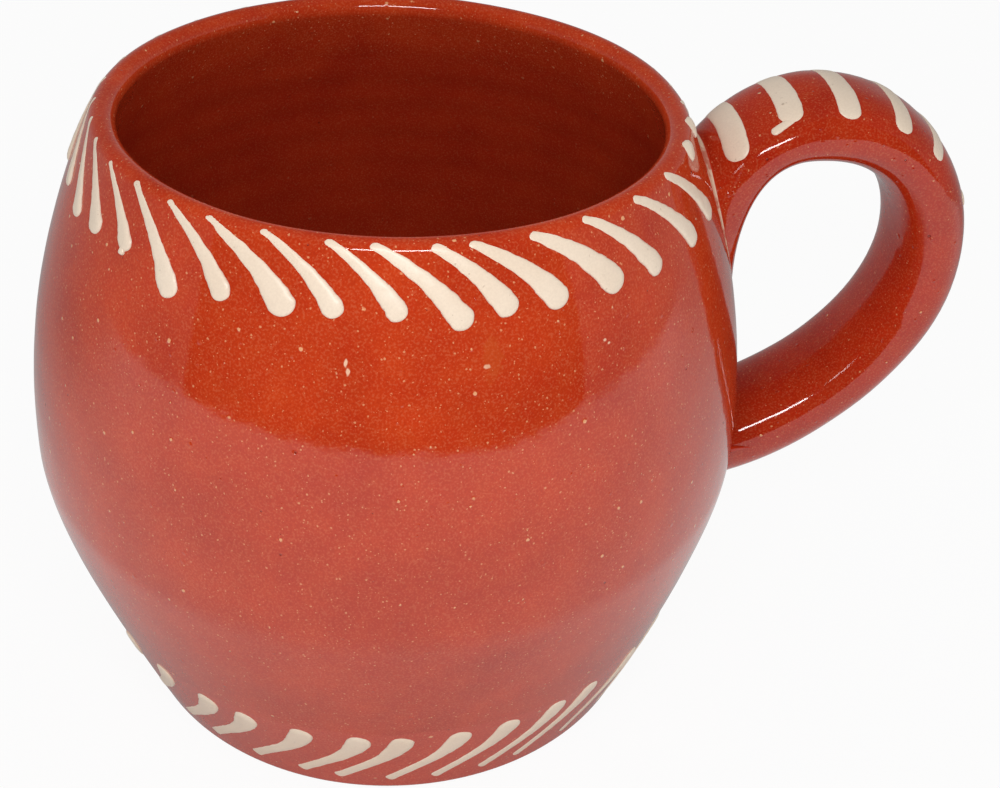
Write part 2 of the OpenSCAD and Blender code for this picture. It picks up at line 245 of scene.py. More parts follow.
class ShapingTree:
    """A Geometry Nodes tree that makes one kind of piece out of a simple guide mesh."""

    def __init__(self, name: str, inputs: dict[str, str]) -> None:
        """Start the tree.

        Args:
            name: Name of the tree.
            inputs: Type of each named input, next to Geometry and Finish.
        """
        self.tree = bpy.data.node_groups.new(name, "GeometryNodeTree")
        sockets = {"Geometry": "Geometry", **inputs, "Finish": "Material"}
        for label, kind in sockets.items():
            self.tree.interface.new_socket(label, in_out="INPUT", socket_type=f"NodeSocket{kind}")
        self.tree.interface.new_socket("Geometry", in_out="OUTPUT", socket_type="NodeSocketGeometry")
        self.nodes = Nodes(self.tree)
        self.inputs = self.nodes.add("NodeGroupInput").outputs
        self.index = self.nodes.add("GeometryNodeInputIndex").outputs["Index"]
        self.position = self.nodes.add("GeometryNodeInputPosition").outputs["Position"]
        self.facing = self.nodes.add("GeometryNodeInputNormal").outputs["Normal"]

    def sheet(self, columns: Socket) -> tuple[Socket, Socket, Socket]:
        """Start from a flat sheet of rows and columns.

        Args:
            columns: Points in a row.

        Returns:
            The sheet, and the row and the column of each of its points.
        """
        inputs = {"Vertices X": self.inputs["Rows"], "Vertices Y": columns}
        sheet = self.nodes.add("GeometryNodeMeshGrid", inputs).outputs["Mesh"]
        middle = self.nodes.math("ADD", self.index, 0.5)
        row = self.nodes.math("FLOOR", self.nodes.math("DIVIDE", middle, columns))
        column = self.nodes.math("SUBTRACT", self.index, self.nodes.math("MULTIPLY", row, columns))
        return sheet, row, column

    def stored(self, name: str, vector: bool = False) -> Socket:
        """Read a stored attribute.

        Args:
            name: Its name.
            vector: Whether it is a vector.

        Returns:
            The attribute.
        """
        kind = "FLOAT_VECTOR" if vector else "FLOAT"
        return self.nodes.add("GeometryNodeInputNamedAttribute", {"Name": name}, data_type=kind).outputs[0]

    def guide(self, value: Socket, row: Socket, vector: bool = True) -> Socket:
        """Read a value from the guide mesh at a row.

        Args:
            value: Field to read on the guide.
            row: Number of the guide's point.
            vector: Whether the value is a vector.

        Returns:
            The value at that row.
        """
        kind = "FLOAT_VECTOR" if vector else "FLOAT"
        inputs = {"Geometry": self.inputs["Geometry"], "Value": value, "Index": row}
        return self.nodes.add("GeometryNodeSampleIndex", inputs, data_type=kind, domain="POINT").outputs[0]

    def store(self, mesh: Socket, name: str, value: object, vector: bool = False) -> Socket:
        """Store a number or a vector on each point.

        Args:
            mesh: The mesh.
            name: Name of the attribute.
            value: The number or vector.
            vector: Whether it is a vector.

        Returns:
            The mesh that carries it.
        """
        kind = "FLOAT_VECTOR" if vector else "FLOAT"
        inputs = {"Geometry": mesh, "Name": name, "Value": value}
        node = self.nodes.add("GeometryNodeStoreNamedAttribute", inputs, data_type=kind, domain="POINT")
        return node.outputs["Geometry"]

    def place(self, mesh: Socket, position: Socket) -> Socket:
        """Move each point of a mesh to a position."""
        inputs = {"Geometry": mesh, "Position": position}
        return self.nodes.add("GeometryNodeSetPosition", inputs).outputs["Geometry"]

    def push(self, mesh: Socket, height: Socket) -> Socket:
        """Push each point of a mesh outwards by a height."""
        inputs = {"Geometry": mesh, "Offset": self.nodes.scaled(self.facing, height)}
        return self.nodes.add("GeometryNodeSetPosition", inputs).outputs["Geometry"]

    def weld(self, mesh: Socket, distance: float = 0.002 * MM) -> Socket:
        """Join the points of a mesh that lie within a distance of each other."""
        inputs = {"Geometry": mesh, "Distance": distance}
        return self.nodes.add("GeometryNodeMergeByDistance", inputs).outputs["Geometry"]

    def end(self, mesh: Socket) -> None:
        """Shade the mesh smooth, realize it, give it its finish and put it out.

        Args:
            mesh: The finished mesh.
        """
        smooth = self.nodes.add("GeometryNodeSetShadeSmooth", {"Geometry": mesh}).outputs["Geometry"]
        real = self.nodes.add("GeometryNodeRealizeInstances", {"Geometry": smooth}).outputs["Geometry"]
        inputs = {"Geometry": real, "Material": self.inputs["Finish"]}
        dressed = self.nodes.add("GeometryNodeSetMaterial", inputs).outputs["Geometry"]
        self.nodes.add("NodeGroupOutput", {"Geometry": dressed})

    def run(self, name: str, guide: bpy.types.Mesh, values: dict[str, object]) -> bpy.types.Mesh:
        """Run the tree on a guide mesh.

        Args:
            name: Name of the mesh that comes out.
            guide: The guide mesh.
            values: Value of each named input.

        Returns:
            The plain mesh that the tree makes.
        """
        holder = placed(name, guide)
        modifier = holder.modifiers.new(self.tree.name, "NODES")
        modifier.node_group = self.tree
        for item in self.tree.interface.items_tree:
            if item.in_out == "INPUT" and item.name in values:
                modifier[item.identifier] = values[item.name]
        graph = bpy.context.evaluated_depsgraph_get()
        made = bpy.data.meshes.new_from_object(
            holder.evaluated_get(graph), preserve_all_data_layers=True, depsgraph=graph
        )
        made.name = name
        holder.modifiers.clear()
        bpy.data.objects.remove(holder)
        return made


def placed(name: str, data: bpy.types.Mesh | bpy.types.Light | bpy.types.Camera) -> bpy.types.Object:
    """Put a mesh, a light or a camera into the scene.

    Args:
        name: Name of the object.
        data: The mesh, light or camera.

    Returns:
        The object.
    """
    thing = bpy.data.objects.new(name, data)
    bpy.context.scene.collection.objects.link(thing)
    return thing


def mark_points(mesh: bpy.types.Mesh, name: str, values: np.ndarray) -> None:
    """Store a number or a vector on each point of a mesh.

    Args:
        mesh: The mesh.
        name: Name of the attribute.
        values: The numbers, or the vectors by row.
    """
    is_vector = values.ndim > 1
    layer = mesh.attributes.new(name, "FLOAT_VECTOR" if is_vector else "FLOAT", "POINT")
    layer.data.foreach_set("vector" if is_vector else "value", values.astype(np.float32).ravel())


def guide_mesh(points: np.ndarray, attributes: dict[str, np.ndarray] | None = None) -> bpy.types.Mesh:
    """Make a guide: a row of points joined by edges, with attributes on the points.

    Args:
        points: The points, in metres.
        attributes: Numbers or vectors for each point, by name.

    Returns:
        The guide mesh.
    """
    mesh = bpy.data.meshes.new("guide")
    mesh.from_pydata(points.tolist(), [(i, i + 1) for i in range(len(points) - 1)], [])
    for name, values in (attributes or {}).items():
        mark_points(mesh, name, values)
    return mesh


def finished_piece(
    name: str, mesh: bpy.types.Mesh, nodes: list[str], finish: bpy.types.Material
) -> bpy.types.Object:
    """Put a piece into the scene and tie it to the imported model.

    Args:
        name: Name of the piece.
        mesh: Its mesh, in place.
        nodes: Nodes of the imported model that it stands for.
        finish: Its material.

    Returns:
        The piece.
    """
    piece = placed(name, mesh)
    mesh.materials.clear()
    mesh.materials.append(finish)
    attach(piece, BODY)
    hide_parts(*nodes)
    LOG.info("%s: %d faces for %s", name, len(mesh.polygons), ", ".join(nodes))
    return piece


# Curves of the clay, in millimetres, as (distance from the axis, height)


def cubic(
    start: np.ndarray, leave: np.ndarray, arrive: np.ndarray, end: np.ndarray, steps: int
) -> np.ndarray:
    """Points on a cubic curve.

    Args:
        start: First point.
        leave: Point that the curve leaves the first one towards.
        arrive: Point that the curve reaches the last one from.
        end: Last point.
        steps: Number of steps.

    Returns:
        The points, one more than the steps.
    """
    t = np.linspace(0, 1, steps + 1)[:, None]
    u = 1 - t
    return u**3 * start + 3 * u * u * t * leave + 3 * u * t * t * arrive + t**3 * end


def heading(angle: float) -> np.ndarray:
    """Unit vector at an angle in degrees."""
    return np.array([math.cos(math.radians(angle)), math.sin(math.radians(angle))])


def arc(centre: np.ndarray, radius: float, start: float, end: float, steps: int) -> np.ndarray:
    """Points on an arc.

    Args:
        centre: Its centre.
        radius: Its radius.
        start: First angle in degrees.
        end: Last angle in degrees.
        steps: Number of steps.

    Returns:
        The points, one more than the steps.
    """
    angles = np.radians(np.linspace(start, end, steps + 1))[:, None]
    return centre + radius * np.hstack([np.cos(angles), np.sin(angles)])


def chained(*lines: np.ndarray) -> np.ndarray:
    """Join lines that each begin where the one before ends."""
    return np.vstack([lines[0]] + [line[1:] for line in lines[1:]])


def travelled(line: np.ndarray) -> np.ndarray:
    """Distance travelled along a line at each of its points."""
    return np.concatenate([[0], np.cumsum(np.linalg.norm(np.diff(line, axis=0), axis=1))])


def with_sides(line: np.ndarray) -> np.ndarray:
    """Points in space of a line in the plane of the handle, in metres."""
    return np.column_stack([line[:, 0], np.zeros(len(line)), line[:, 1]]) * MM


UPRIGHT = np.array([0.0, 1.0])


# Finishes


@dataclass(frozen=True)
class Dots:
    """Round dots in some of the cells of a random pattern. Lengths are in metres.

    The radius of a dot is between small and large. The core is the share of the radius over which
    a dot is full. The higher the rarity, the rarer are the large ones.
    """

    spacing: float
    small: float
    large: float
    core: float = 0.55
    rarity: float = 3.0

    def mask(self, n: Nodes, place: Socket, share: Socket) -> Socket:
        """Scatter the dots.

        Args:
            n: The nodes.
            place: Position.
            share: Share of the cells that hold a dot.

        Returns:
            A mask, 1 on the dots.
        """
        cells = n.add("ShaderNodeTexVoronoi", {"Vector": place, "Scale": 1 / self.spacing}, feature="F1")
        luck = n.add("ShaderNodeSeparateColor", {0: cells.outputs["Color"]}).outputs
        sizes = (self.large - self.small) / self.spacing, self.small / self.spacing
        radius = n.math("MULTIPLY_ADD", n.math("POWER", luck[1], self.rarity), *sizes)
        edge = n.ramp(cells.outputs["Distance"], radius, n.math("MULTIPLY", radius, self.core))
        chosen = n.math("LESS_THAN", luck[0], share)
        return n.math("MULTIPLY", edge, chosen)


class ClayGrain:
    """Shader group with the specks, pinholes and slow changes of colour of fired clay.

    Lengths are in metres. A pace is the number of waves of a noise in a metre.
    """

    fine_specks = Dots(0.5 * MM, 0.07 * MM, 0.18 * MM)
    coarse_specks = Dots(1.7 * MM, 0.1 * MM, 0.36 * MM)
    pinholes = Dots(2.1 * MM, 0.1 * MM, 0.3 * MM)
    blisters = Dots(1.7 * MM, 0.18 * MM, 0.5 * MM, core=0.1)
    fine_strength = 0.6
    coarse_share = 0.6
    fray = 0.12 * MM
    fray_pace = 3200.0
    mottle_pace = 95.0
    cloud_pace = 420.0
    cloud_seed = 5.0
    grain_pace = 3600.0
    grain_contrast = 0.9
    swell_pace = 210.0
    swell_height = 0.014 * MM
    peel_pace = 760.0
    peel_height = 0.0024 * MM
    blister_height = 0.05 * MM
    pinhole_depth = 0.05 * MM
    _group: bpy.types.NodeTree | None = None

    @classmethod
    def group(cls) -> bpy.types.NodeTree:
        """Give the group, and build it the first time.

        Returns:
            The group.
        """
        if cls._group is None:
            cls._group = cls._build()
        return cls._group

    @classmethod
    def _build(cls) -> bpy.types.NodeTree:
        """Build the group.

        Returns:
            The group. It puts out masks from 0 to 1 and a height in metres.
        """
        tree = bpy.data.node_groups.new("clay_grain", "ShaderNodeTree")
        tree.interface.new_socket("Position", in_out="INPUT", socket_type="NodeSocketVector")
        for label in ("Speck Share", "Pit Share", "Blister Share"):
            tree.interface.new_socket(label, in_out="INPUT", socket_type="NodeSocketFloat")
        for label in ("Specks", "Pits", "Mottle", "Clouds", "Grain", "Height"):
            tree.interface.new_socket(label, in_out="OUTPUT", socket_type="NodeSocketFloat")
        n = Nodes(tree)
        source = n.add("NodeGroupInput").outputs
        place = source["Position"]
        share = source["Speck Share"]
        strayed = n.vector("ADD", place, n.scaled(cls._wander(n, place), cls.fray))

        fine = n.math("MULTIPLY", cls.fine_specks.mask(n, strayed, share), cls.fine_strength)
        coarse = cls.coarse_specks.mask(n, strayed, n.math("MULTIPLY", share, cls.coarse_share))
        pits = cls.pinholes.mask(n, place, source["Pit Share"])
        blisters = cls.blisters.mask(n, place, source["Blister Share"])
        swell = n.math("MULTIPLY", n.noise(place, cls.swell_pace, 1.0), cls.swell_height)
        peel = n.math("MULTIPLY_ADD", n.noise(place, cls.peel_pace, 1.0), cls.peel_height, swell)
        rise = n.math("MULTIPLY_ADD", blisters, cls.blister_height, peel)
        results = {
            "Specks": n.math("MAXIMUM", fine, coarse),
            "Pits": pits,
            "Mottle": n.mask(place, cls.mottle_pace, 3.0),
            "Clouds": n.mask(place, cls.cloud_pace, 2.0, cls.cloud_seed),
            "Grain": n.mask(place, cls.grain_pace, 2.0, contrast=cls.grain_contrast),
            "Height": n.math("MULTIPLY_ADD", pits, -cls.pinhole_depth, rise),
        }
        n.add("NodeGroupOutput", results)
        return tree

    @classmethod
    def _wander(cls, n: Nodes, place: Socket) -> Socket:
        """Change direction fast over the surface, which frays the outline of a dot.

        Args:
            n: The nodes.
            place: Position.

        Returns:
            A random vector with parts from -1 to 1.
        """
        inputs = {"Vector": place, "Scale": cls.fray_pace, "Detail": 1.0}
        colour = n.add("ShaderNodeTexNoise", inputs).outputs["Color"]
        return n.vector("MULTIPLY_ADD", colour, (2.0, 2.0, 2.0), (-1.0, -1.0, -1.0))


@dataclass(frozen=True)
class Finish:
    """What the finishes share: a gloss surface with a name."""

    name: str
    gloss: float = 0.07
    glass_index: float = 1.5
    ripple: float = 1.0

    def start(self) -> tuple[bpy.types.Material, Nodes, bpy.types.Node, Socket]:
        """Start a material with a Principled shader.

        Returns:
            The material, its nodes, its shader and the position on the object.
        """
        material = bpy.data.materials.new(self.name)
        n = Nodes.cleared(material)
        shader = n.add("ShaderNodeBsdfPrincipled")
        shader.inputs["IOR"].default_value = self.glass_index
        shader.inputs["Roughness"].default_value = self.gloss
        n.add("ShaderNodeOutputMaterial", {"Surface": shader.outputs["BSDF"]})
        place = n.add("ShaderNodeTexCoord").outputs["Object"]
        return material, n, shader, place

    @staticmethod
    def grain(n: Nodes, place: Socket, specks: float, pits: float, blisters: float) -> bpy.types.NodeOutputs:
        """Place the grain of the clay in a material.

        Args:
            n: Nodes of the material.
            place: Position on the object.
            specks: Share of the possible specks that are there.
            pits: Share of the possible pinholes that are there.
            blisters: Share of the possible blisters of the glaze that are there.

        Returns:
            The outputs of the group.
        """
        node = n.add("ShaderNodeGroup", node_tree=ClayGrain.group())
        values = {"Position": place, "Speck Share": specks, "Pit Share": pits, "Blister Share": blisters}
        for label, value in values.items():
            n.feed(node.inputs[label], value)
        return node.outputs

    def relief(self, n: Nodes, shader: bpy.types.Node, height: Socket) -> None:
        """Let a height in metres tilt the surface of a shader."""
        bump = n.add("ShaderNodeBump", {"Height": height, "Distance": self.ripple, "Strength": 1.0})
        n.feed(shader.inputs["Normal"], bump.outputs["Normal"])


@dataclass(frozen=True)
class GlazeMark:
    """A small flaw under the glaze: a chip or a run. Lengths are in millimetres.

    The reach is how far it goes sideways and upwards. Its edge fades between the two soft shares of
    the reach, and frays by a noise whose pace is its number of waves in a metre.
    """

    place: tuple[float, float, float]
    reach: tuple[float, float]
    strength: float
    colour: Colour = screen_colour(246, 206, 172)
    soft: tuple[float, float] = (1.1, 0.6)
    fray: float = 0.35
    fray_pace: float = 1300.0

    def cover(self, n: Nodes, place: Socket) -> Socket:
        """How much of the mark shows at a place.

        Args:
            n: Nodes of the material.
            place: Position on the object.

        Returns:
            A mask, up to the strength of the mark.
        """
        across, up = (reach * MM for reach in self.reach)
        offset = n.vector("SUBTRACT", place, tuple(value * MM for value in self.place))
        offset = n.vector("DIVIDE", offset, (across, across, up))
        stray = n.noise(place, self.fray_pace, 2.0)
        distance = n.math("MULTIPLY_ADD", stray, self.fray, n.vector("LENGTH", offset))
        return n.ramp(distance, *self.soft, 0.0, self.strength)


@dataclass(frozen=True)
class GlazedClay(Finish):
    """Red earthenware under a clear glaze, bare and matt under the base, with painted shade inside and a
    painted sheen below the foot line.

    A tint is the share that another colour has where its mask is full. The specks have one for the
    outside and one for the inside. Heights and lengths are in metres.
    """

    name: str = "glazed_clay"
    specks: float = 0.5
    pits: float = 0.1
    blisters: float = 0.5
    red: Colour = screen_colour(205, 63, 26)
    dark: Colour = screen_colour(178, 44, 19)
    # Deep red: the dark side of the grain, and the painted shade of the inside.
    deep: Colour = screen_colour(144, 26, 15)
    gold: Colour = screen_colour(208, 98, 40)
    # Pinker red of the painted sheen below the foot line.
    foot_sheen_pink: Colour = screen_colour(206, 72, 48)
    speck: Colour = screen_colour(240, 178, 128)
    pit: Colour = screen_colour(104, 24, 12)
    bare: Colour = screen_colour(186, 94, 62)
    cloud_tint: float = 0.14
    foot_height: float = 17.5 * MM
    foot_edge: float = 0.5 * MM
    foot_fray: float = 0.8 * MM
    foot_pace: float = 60.0
    foot_sheen_tint: float = 0.6
    dark_grain_tint: float = 0.16
    light_grain_tint: float = 0.09
    inside_shade_tint: float = 0.45
    speck_tints: tuple[float, float] = (0.85, 0.1)
    pit_tint: float = 0.6
    bare_height: tuple[float, float] = (0.9 * MM, 0.3 * MM)
    bare_gloss: float = 0.6
    marks: tuple[GlazeMark, ...] = (
        GlazeMark((-8.75, -42.6, 75.6), (0.24, 0.8), 0.9),
        GlazeMark((-8.55, -43.0, 74.6), (0.24, 0.9), 0.8),
        GlazeMark((6.95, -43.2, 74.9), (0.45, 0.3), 0.8),
        GlazeMark((21.5, -38.3, 74.7), (0.35, 0.25), 0.8),
        GlazeMark((22.0, -38.2, 74.2), (0.25, 0.2), 0.8),
        GlazeMark((7.6, -42.7, 75.0), (1.3, 5.0), 0.3, screen_colour(196, 92, 40)),
    )

    def material(self) -> bpy.types.Material:
        """Build the material.

        Returns:
            The material.
        """
        material, n, shader, place = self.start()
        grain = self.grain(n, place, self.specks, self.pits, self.blisters)
        height = n.height(place)
        inside = n.attribute("inside")
        colour = n.blend(grain["Mottle"], self.dark, self.red)
        colour = n.blend(n.math("MULTIPLY", grain["Clouds"], self.cloud_tint), colour, self.gold)
        # Painted reflection: below the foot line the red turns pinker, a painted sheen of the pale floor on
        # the lower wall.
        edge = n.math("MULTIPLY_ADD", n.noise(place, self.foot_pace), self.foot_fray, height)
        foot = n.ramp(edge, self.foot_height + self.foot_edge, self.foot_height - self.foot_edge)
        colour = n.blend(n.math("MULTIPLY", foot, self.foot_sheen_tint), colour, self.foot_sheen_pink)
        colour = n.blend(n.ramp(grain["Grain"], 0.5, 0.0, 0.0, self.dark_grain_tint), colour, self.deep)
        colour = n.blend(n.ramp(grain["Grain"], 0.5, 1.0, 0.0, self.light_grain_tint), colour, self.speck)
        for mark in self.marks:
            colour = n.blend(mark.cover(n, place), colour, mark.colour)
        # Painted shade: the inside is blended towards the deep red, darker than the outside.
        colour = n.blend(n.math("MULTIPLY", inside, self.inside_shade_tint), colour, self.deep)
        shown = n.math("MULTIPLY", grain["Specks"], n.ramp(inside, 0.0, 1.0, *self.speck_tints))
        colour = n.blend(shown, colour, self.speck)
        colour = n.blend(n.math("MULTIPLY", grain["Pits"], self.pit_tint), colour, self.pit)
        under = n.ramp(height, *self.bare_height)
        colour = n.blend(under, colour, self.bare)
        n.feed(shader.inputs["Base Color"], colour)
        n.feed(shader.inputs["Roughness"], n.math("MULTIPLY_ADD", under, self.bare_gloss, self.gloss))
        self.relief(n, shader, grain["Height"])
        return material


@dataclass(frozen=True)
class PulledClay(GlazedClay):
    """The glazed clay of the strap, where the glaze lies thicker and has more blisters. Its red and dark are
    deeper than the body's, as painted shade on the strap.
    """

    name: str = "pulled_clay"
    specks: float = 0.2
    blisters: float = 0.9
    ripple: float = 1.8
    # Painted shade: these deeper reds darken the whole strap.
    red: Colour = screen_colour(194, 48, 19)
    dark: Colour = screen_colour(166, 33, 13)
    marks: tuple[GlazeMark, ...] = ()


@dataclass(frozen=True)
class SlipFinish(Finish):
    """Cream slip, laid on by hand, thin and pinkish at its edges.

    A tint is the share that another colour has where its mask is full.
    """

    name: str = "cream_slip"
    gloss: float = 0.3
    gloss_change: float = 0.12
    specks: float = 0.12
    pits: float = 0.05
    blisters: float = 0.5
    cream: Colour = screen_colour(247, 229, 208)
    shade: Colour = screen_colour(241, 219, 195)
    thin: Colour = screen_colour(204, 148, 134)
    dirt: Colour = screen_colour(150, 118, 92)
    full_cover: float = 0.55
    thin_tint: float = 0.8
    grain_tint: float = 0.07
    speck_tint: float = 0.5

    def material(self) -> bpy.types.Material:
        """Build the material.

        Returns:
            The material.
        """
        material, n, shader, place = self.start()
        grain = self.grain(n, place, self.specks, self.pits, self.blisters)
        thinned = n.ramp(n.attribute("cover"), self.full_cover, 0.0, 0.0, self.thin_tint)
        colour = n.blend(grain["Mottle"], self.shade, self.cream)
        colour = n.blend(thinned, colour, self.thin)
        colour = n.blend(n.math("MULTIPLY", grain["Grain"], self.grain_tint), colour, self.dirt)
        colour = n.blend(n.math("MULTIPLY", grain["Specks"], self.speck_tint), colour, self.dirt)
        gloss = n.math("MULTIPLY_ADD", grain["Mottle"], self.gloss_change, self.gloss)
        n.feed(shader.inputs["Base Color"], colour)
        n.feed(shader.inputs["Roughness"], gloss)
        self.relief(n, shader, grain["Height"])
        return material


@dataclass(frozen=True)
class LutingFinish(Finish):
    """Clay slip in a seam under the glaze, with a pale thread along the upper seam.

    The thread lies between two sides of the bead, which runs from 0 at the strap to 1 at the wall.
    It breaks up with the clouds of the clay, down to its least share. Heights are in metres.
    """

    name: str = "luting_slip"
    specks: float = 0.42
    pits: float = 0.1
    blisters: float = 0.5
    red: Colour = screen_colour(190, 46, 16)
    pale: Colour = screen_colour(240, 206, 178)
    thread_heights: tuple[float, float] = (62 * MM, 70 * MM)
    strap_side: tuple[float, float] = (0.2, 0.3)
    wall_side: tuple[float, float] = (0.95, 0.85)
    breaks: tuple[float, float] = (0.3, 0.45)
    least_share: float = 0.3

    def material(self) -> bpy.types.Material:
        """Build the material.

        Returns:
            The material.
        """
        material, n, shader, place = self.start()
        grain = self.grain(n, place, self.specks, self.pits, self.blisters)
        edge = n.attribute("edge")
        thread = n.math("MULTIPLY", n.ramp(edge, *self.strap_side), n.ramp(edge, *self.wall_side))
        upper_thread = n.math("MULTIPLY", thread, n.ramp(n.height(place), *self.thread_heights))
        broken = n.math("MULTIPLY", upper_thread, n.ramp(grain["Clouds"], *self.breaks, self.least_share, 1.0))
        n.feed(shader.inputs["Base Color"], n.blend(broken, self.red, self.pale))
        self.relief(n, shader, grain["Height"])
        return material


# Clay pieces


class TurnedWallTree(ShapingTree):
    """Turns a profile about the axis and leaves the marks of throwing on it.

    The rings come in between two distances from the axis, and the unevenness between two heights
    above the ground. Lengths are in metres. A pace is the number of waves of a noise in a metre.
    """

    rings_from = (2 * MM, 10 * MM)
    uneven_from = (0.3 * MM, 6 * MM)
    slow_pace = 38.0
    ripple_pace = 190.0
    ripple_stretch = (0.35, 0.35, 1.0)

    def __init__(self) -> None:
        """Build the tree."""
        floats = ("Ring Height", "Ring Pitch", "Unevenness", "Ripple", "Lean", "Lean Height")
        super().__init__("turned_wall", {"Rows": "Int", "Turns": "Int", **dict.fromkeys(floats, "Float")})
        n = self.nodes
        turns = self.inputs["Turns"]
        sheet, row, column = self.sheet(n.math("ADD", turns, 1))
        turn = n.math("DIVIDE", column, turns)
        for name, value in {
            "inside": self.guide(self.stored("inside"), row, vector=False),
            "travel": self.guide(self.stored("travel"), row, vector=False),
            "turn": turn,
        }.items():
            sheet = self.store(sheet, name, value)
        profile = self.guide(self.position, row)
        angle = n.math("MULTIPLY", turn, -math.tau)
        turned = n.add("ShaderNodeVectorRotate", {"Vector": profile, "Angle": angle}, rotation_type="Z_AXIS")
        wall = self.weld(self.place(sheet, turned.outputs["Vector"]))
        marked = self._leaned(self.push(wall, self._marks()))
        self.end(self.store(marked, FACING, self.facing, vector=True))

    def _marks(self) -> Socket:
        """Height of the throwing rings inside and of the uneven surface outside.

        Returns:
            The height, in metres.
        """
        n = self.nodes
        source = self.inputs
        from_axis = n.vector("LENGTH", n.vector("MULTIPLY", self.position, (1.0, 1.0, 0.0)))
        inside = n.math("MULTIPLY", self.stored("inside"), n.ramp(from_axis, *self.rings_from))
        rounds = n.math("DIVIDE", self.stored("travel"), source["Ring Pitch"])
        laps = n.math("ADD", rounds, self.stored("turn"))
        wave = n.math("SINE", n.math("MULTIPLY", laps, math.tau))
        rings = n.math("MULTIPLY", n.math("MULTIPLY", wave, source["Ring Height"]), inside)
        slow = n.math("MULTIPLY", n.noise(self.position, self.slow_pace, 1.0), source["Unevenness"])
        stretched = n.vector("MULTIPLY", self.position, self.ripple_stretch)
        ripple = n.math("MULTIPLY", n.noise(stretched, self.ripple_pace, 1.0), source["Ripple"])
        standing = n.ramp(n.height(self.position), *self.uneven_from)
        outside = n.math("MULTIPLY", n.math("ADD", slow, ripple), standing)
        return n.math("ADD", rings, outside)

    def _leaned(self, wall: Socket) -> Socket:
        """Shift the lower wall sideways, more the lower it is.

        Args:
            wall: The wall.

        Returns:
            The leaning wall.
        """
        n = self.nodes
        source = self.inputs
        shift = n.ramp(n.height(self.position), source["Lean Height"], 0.0, 0.0, source["Lean"])
        offset = n.add("ShaderNodeCombineXYZ", {"X": shift}).outputs["Vector"]
        return n.add("GeometryNodeSetPosition", {"Geometry": wall, "Offset": offset}).outputs["Geometry"]


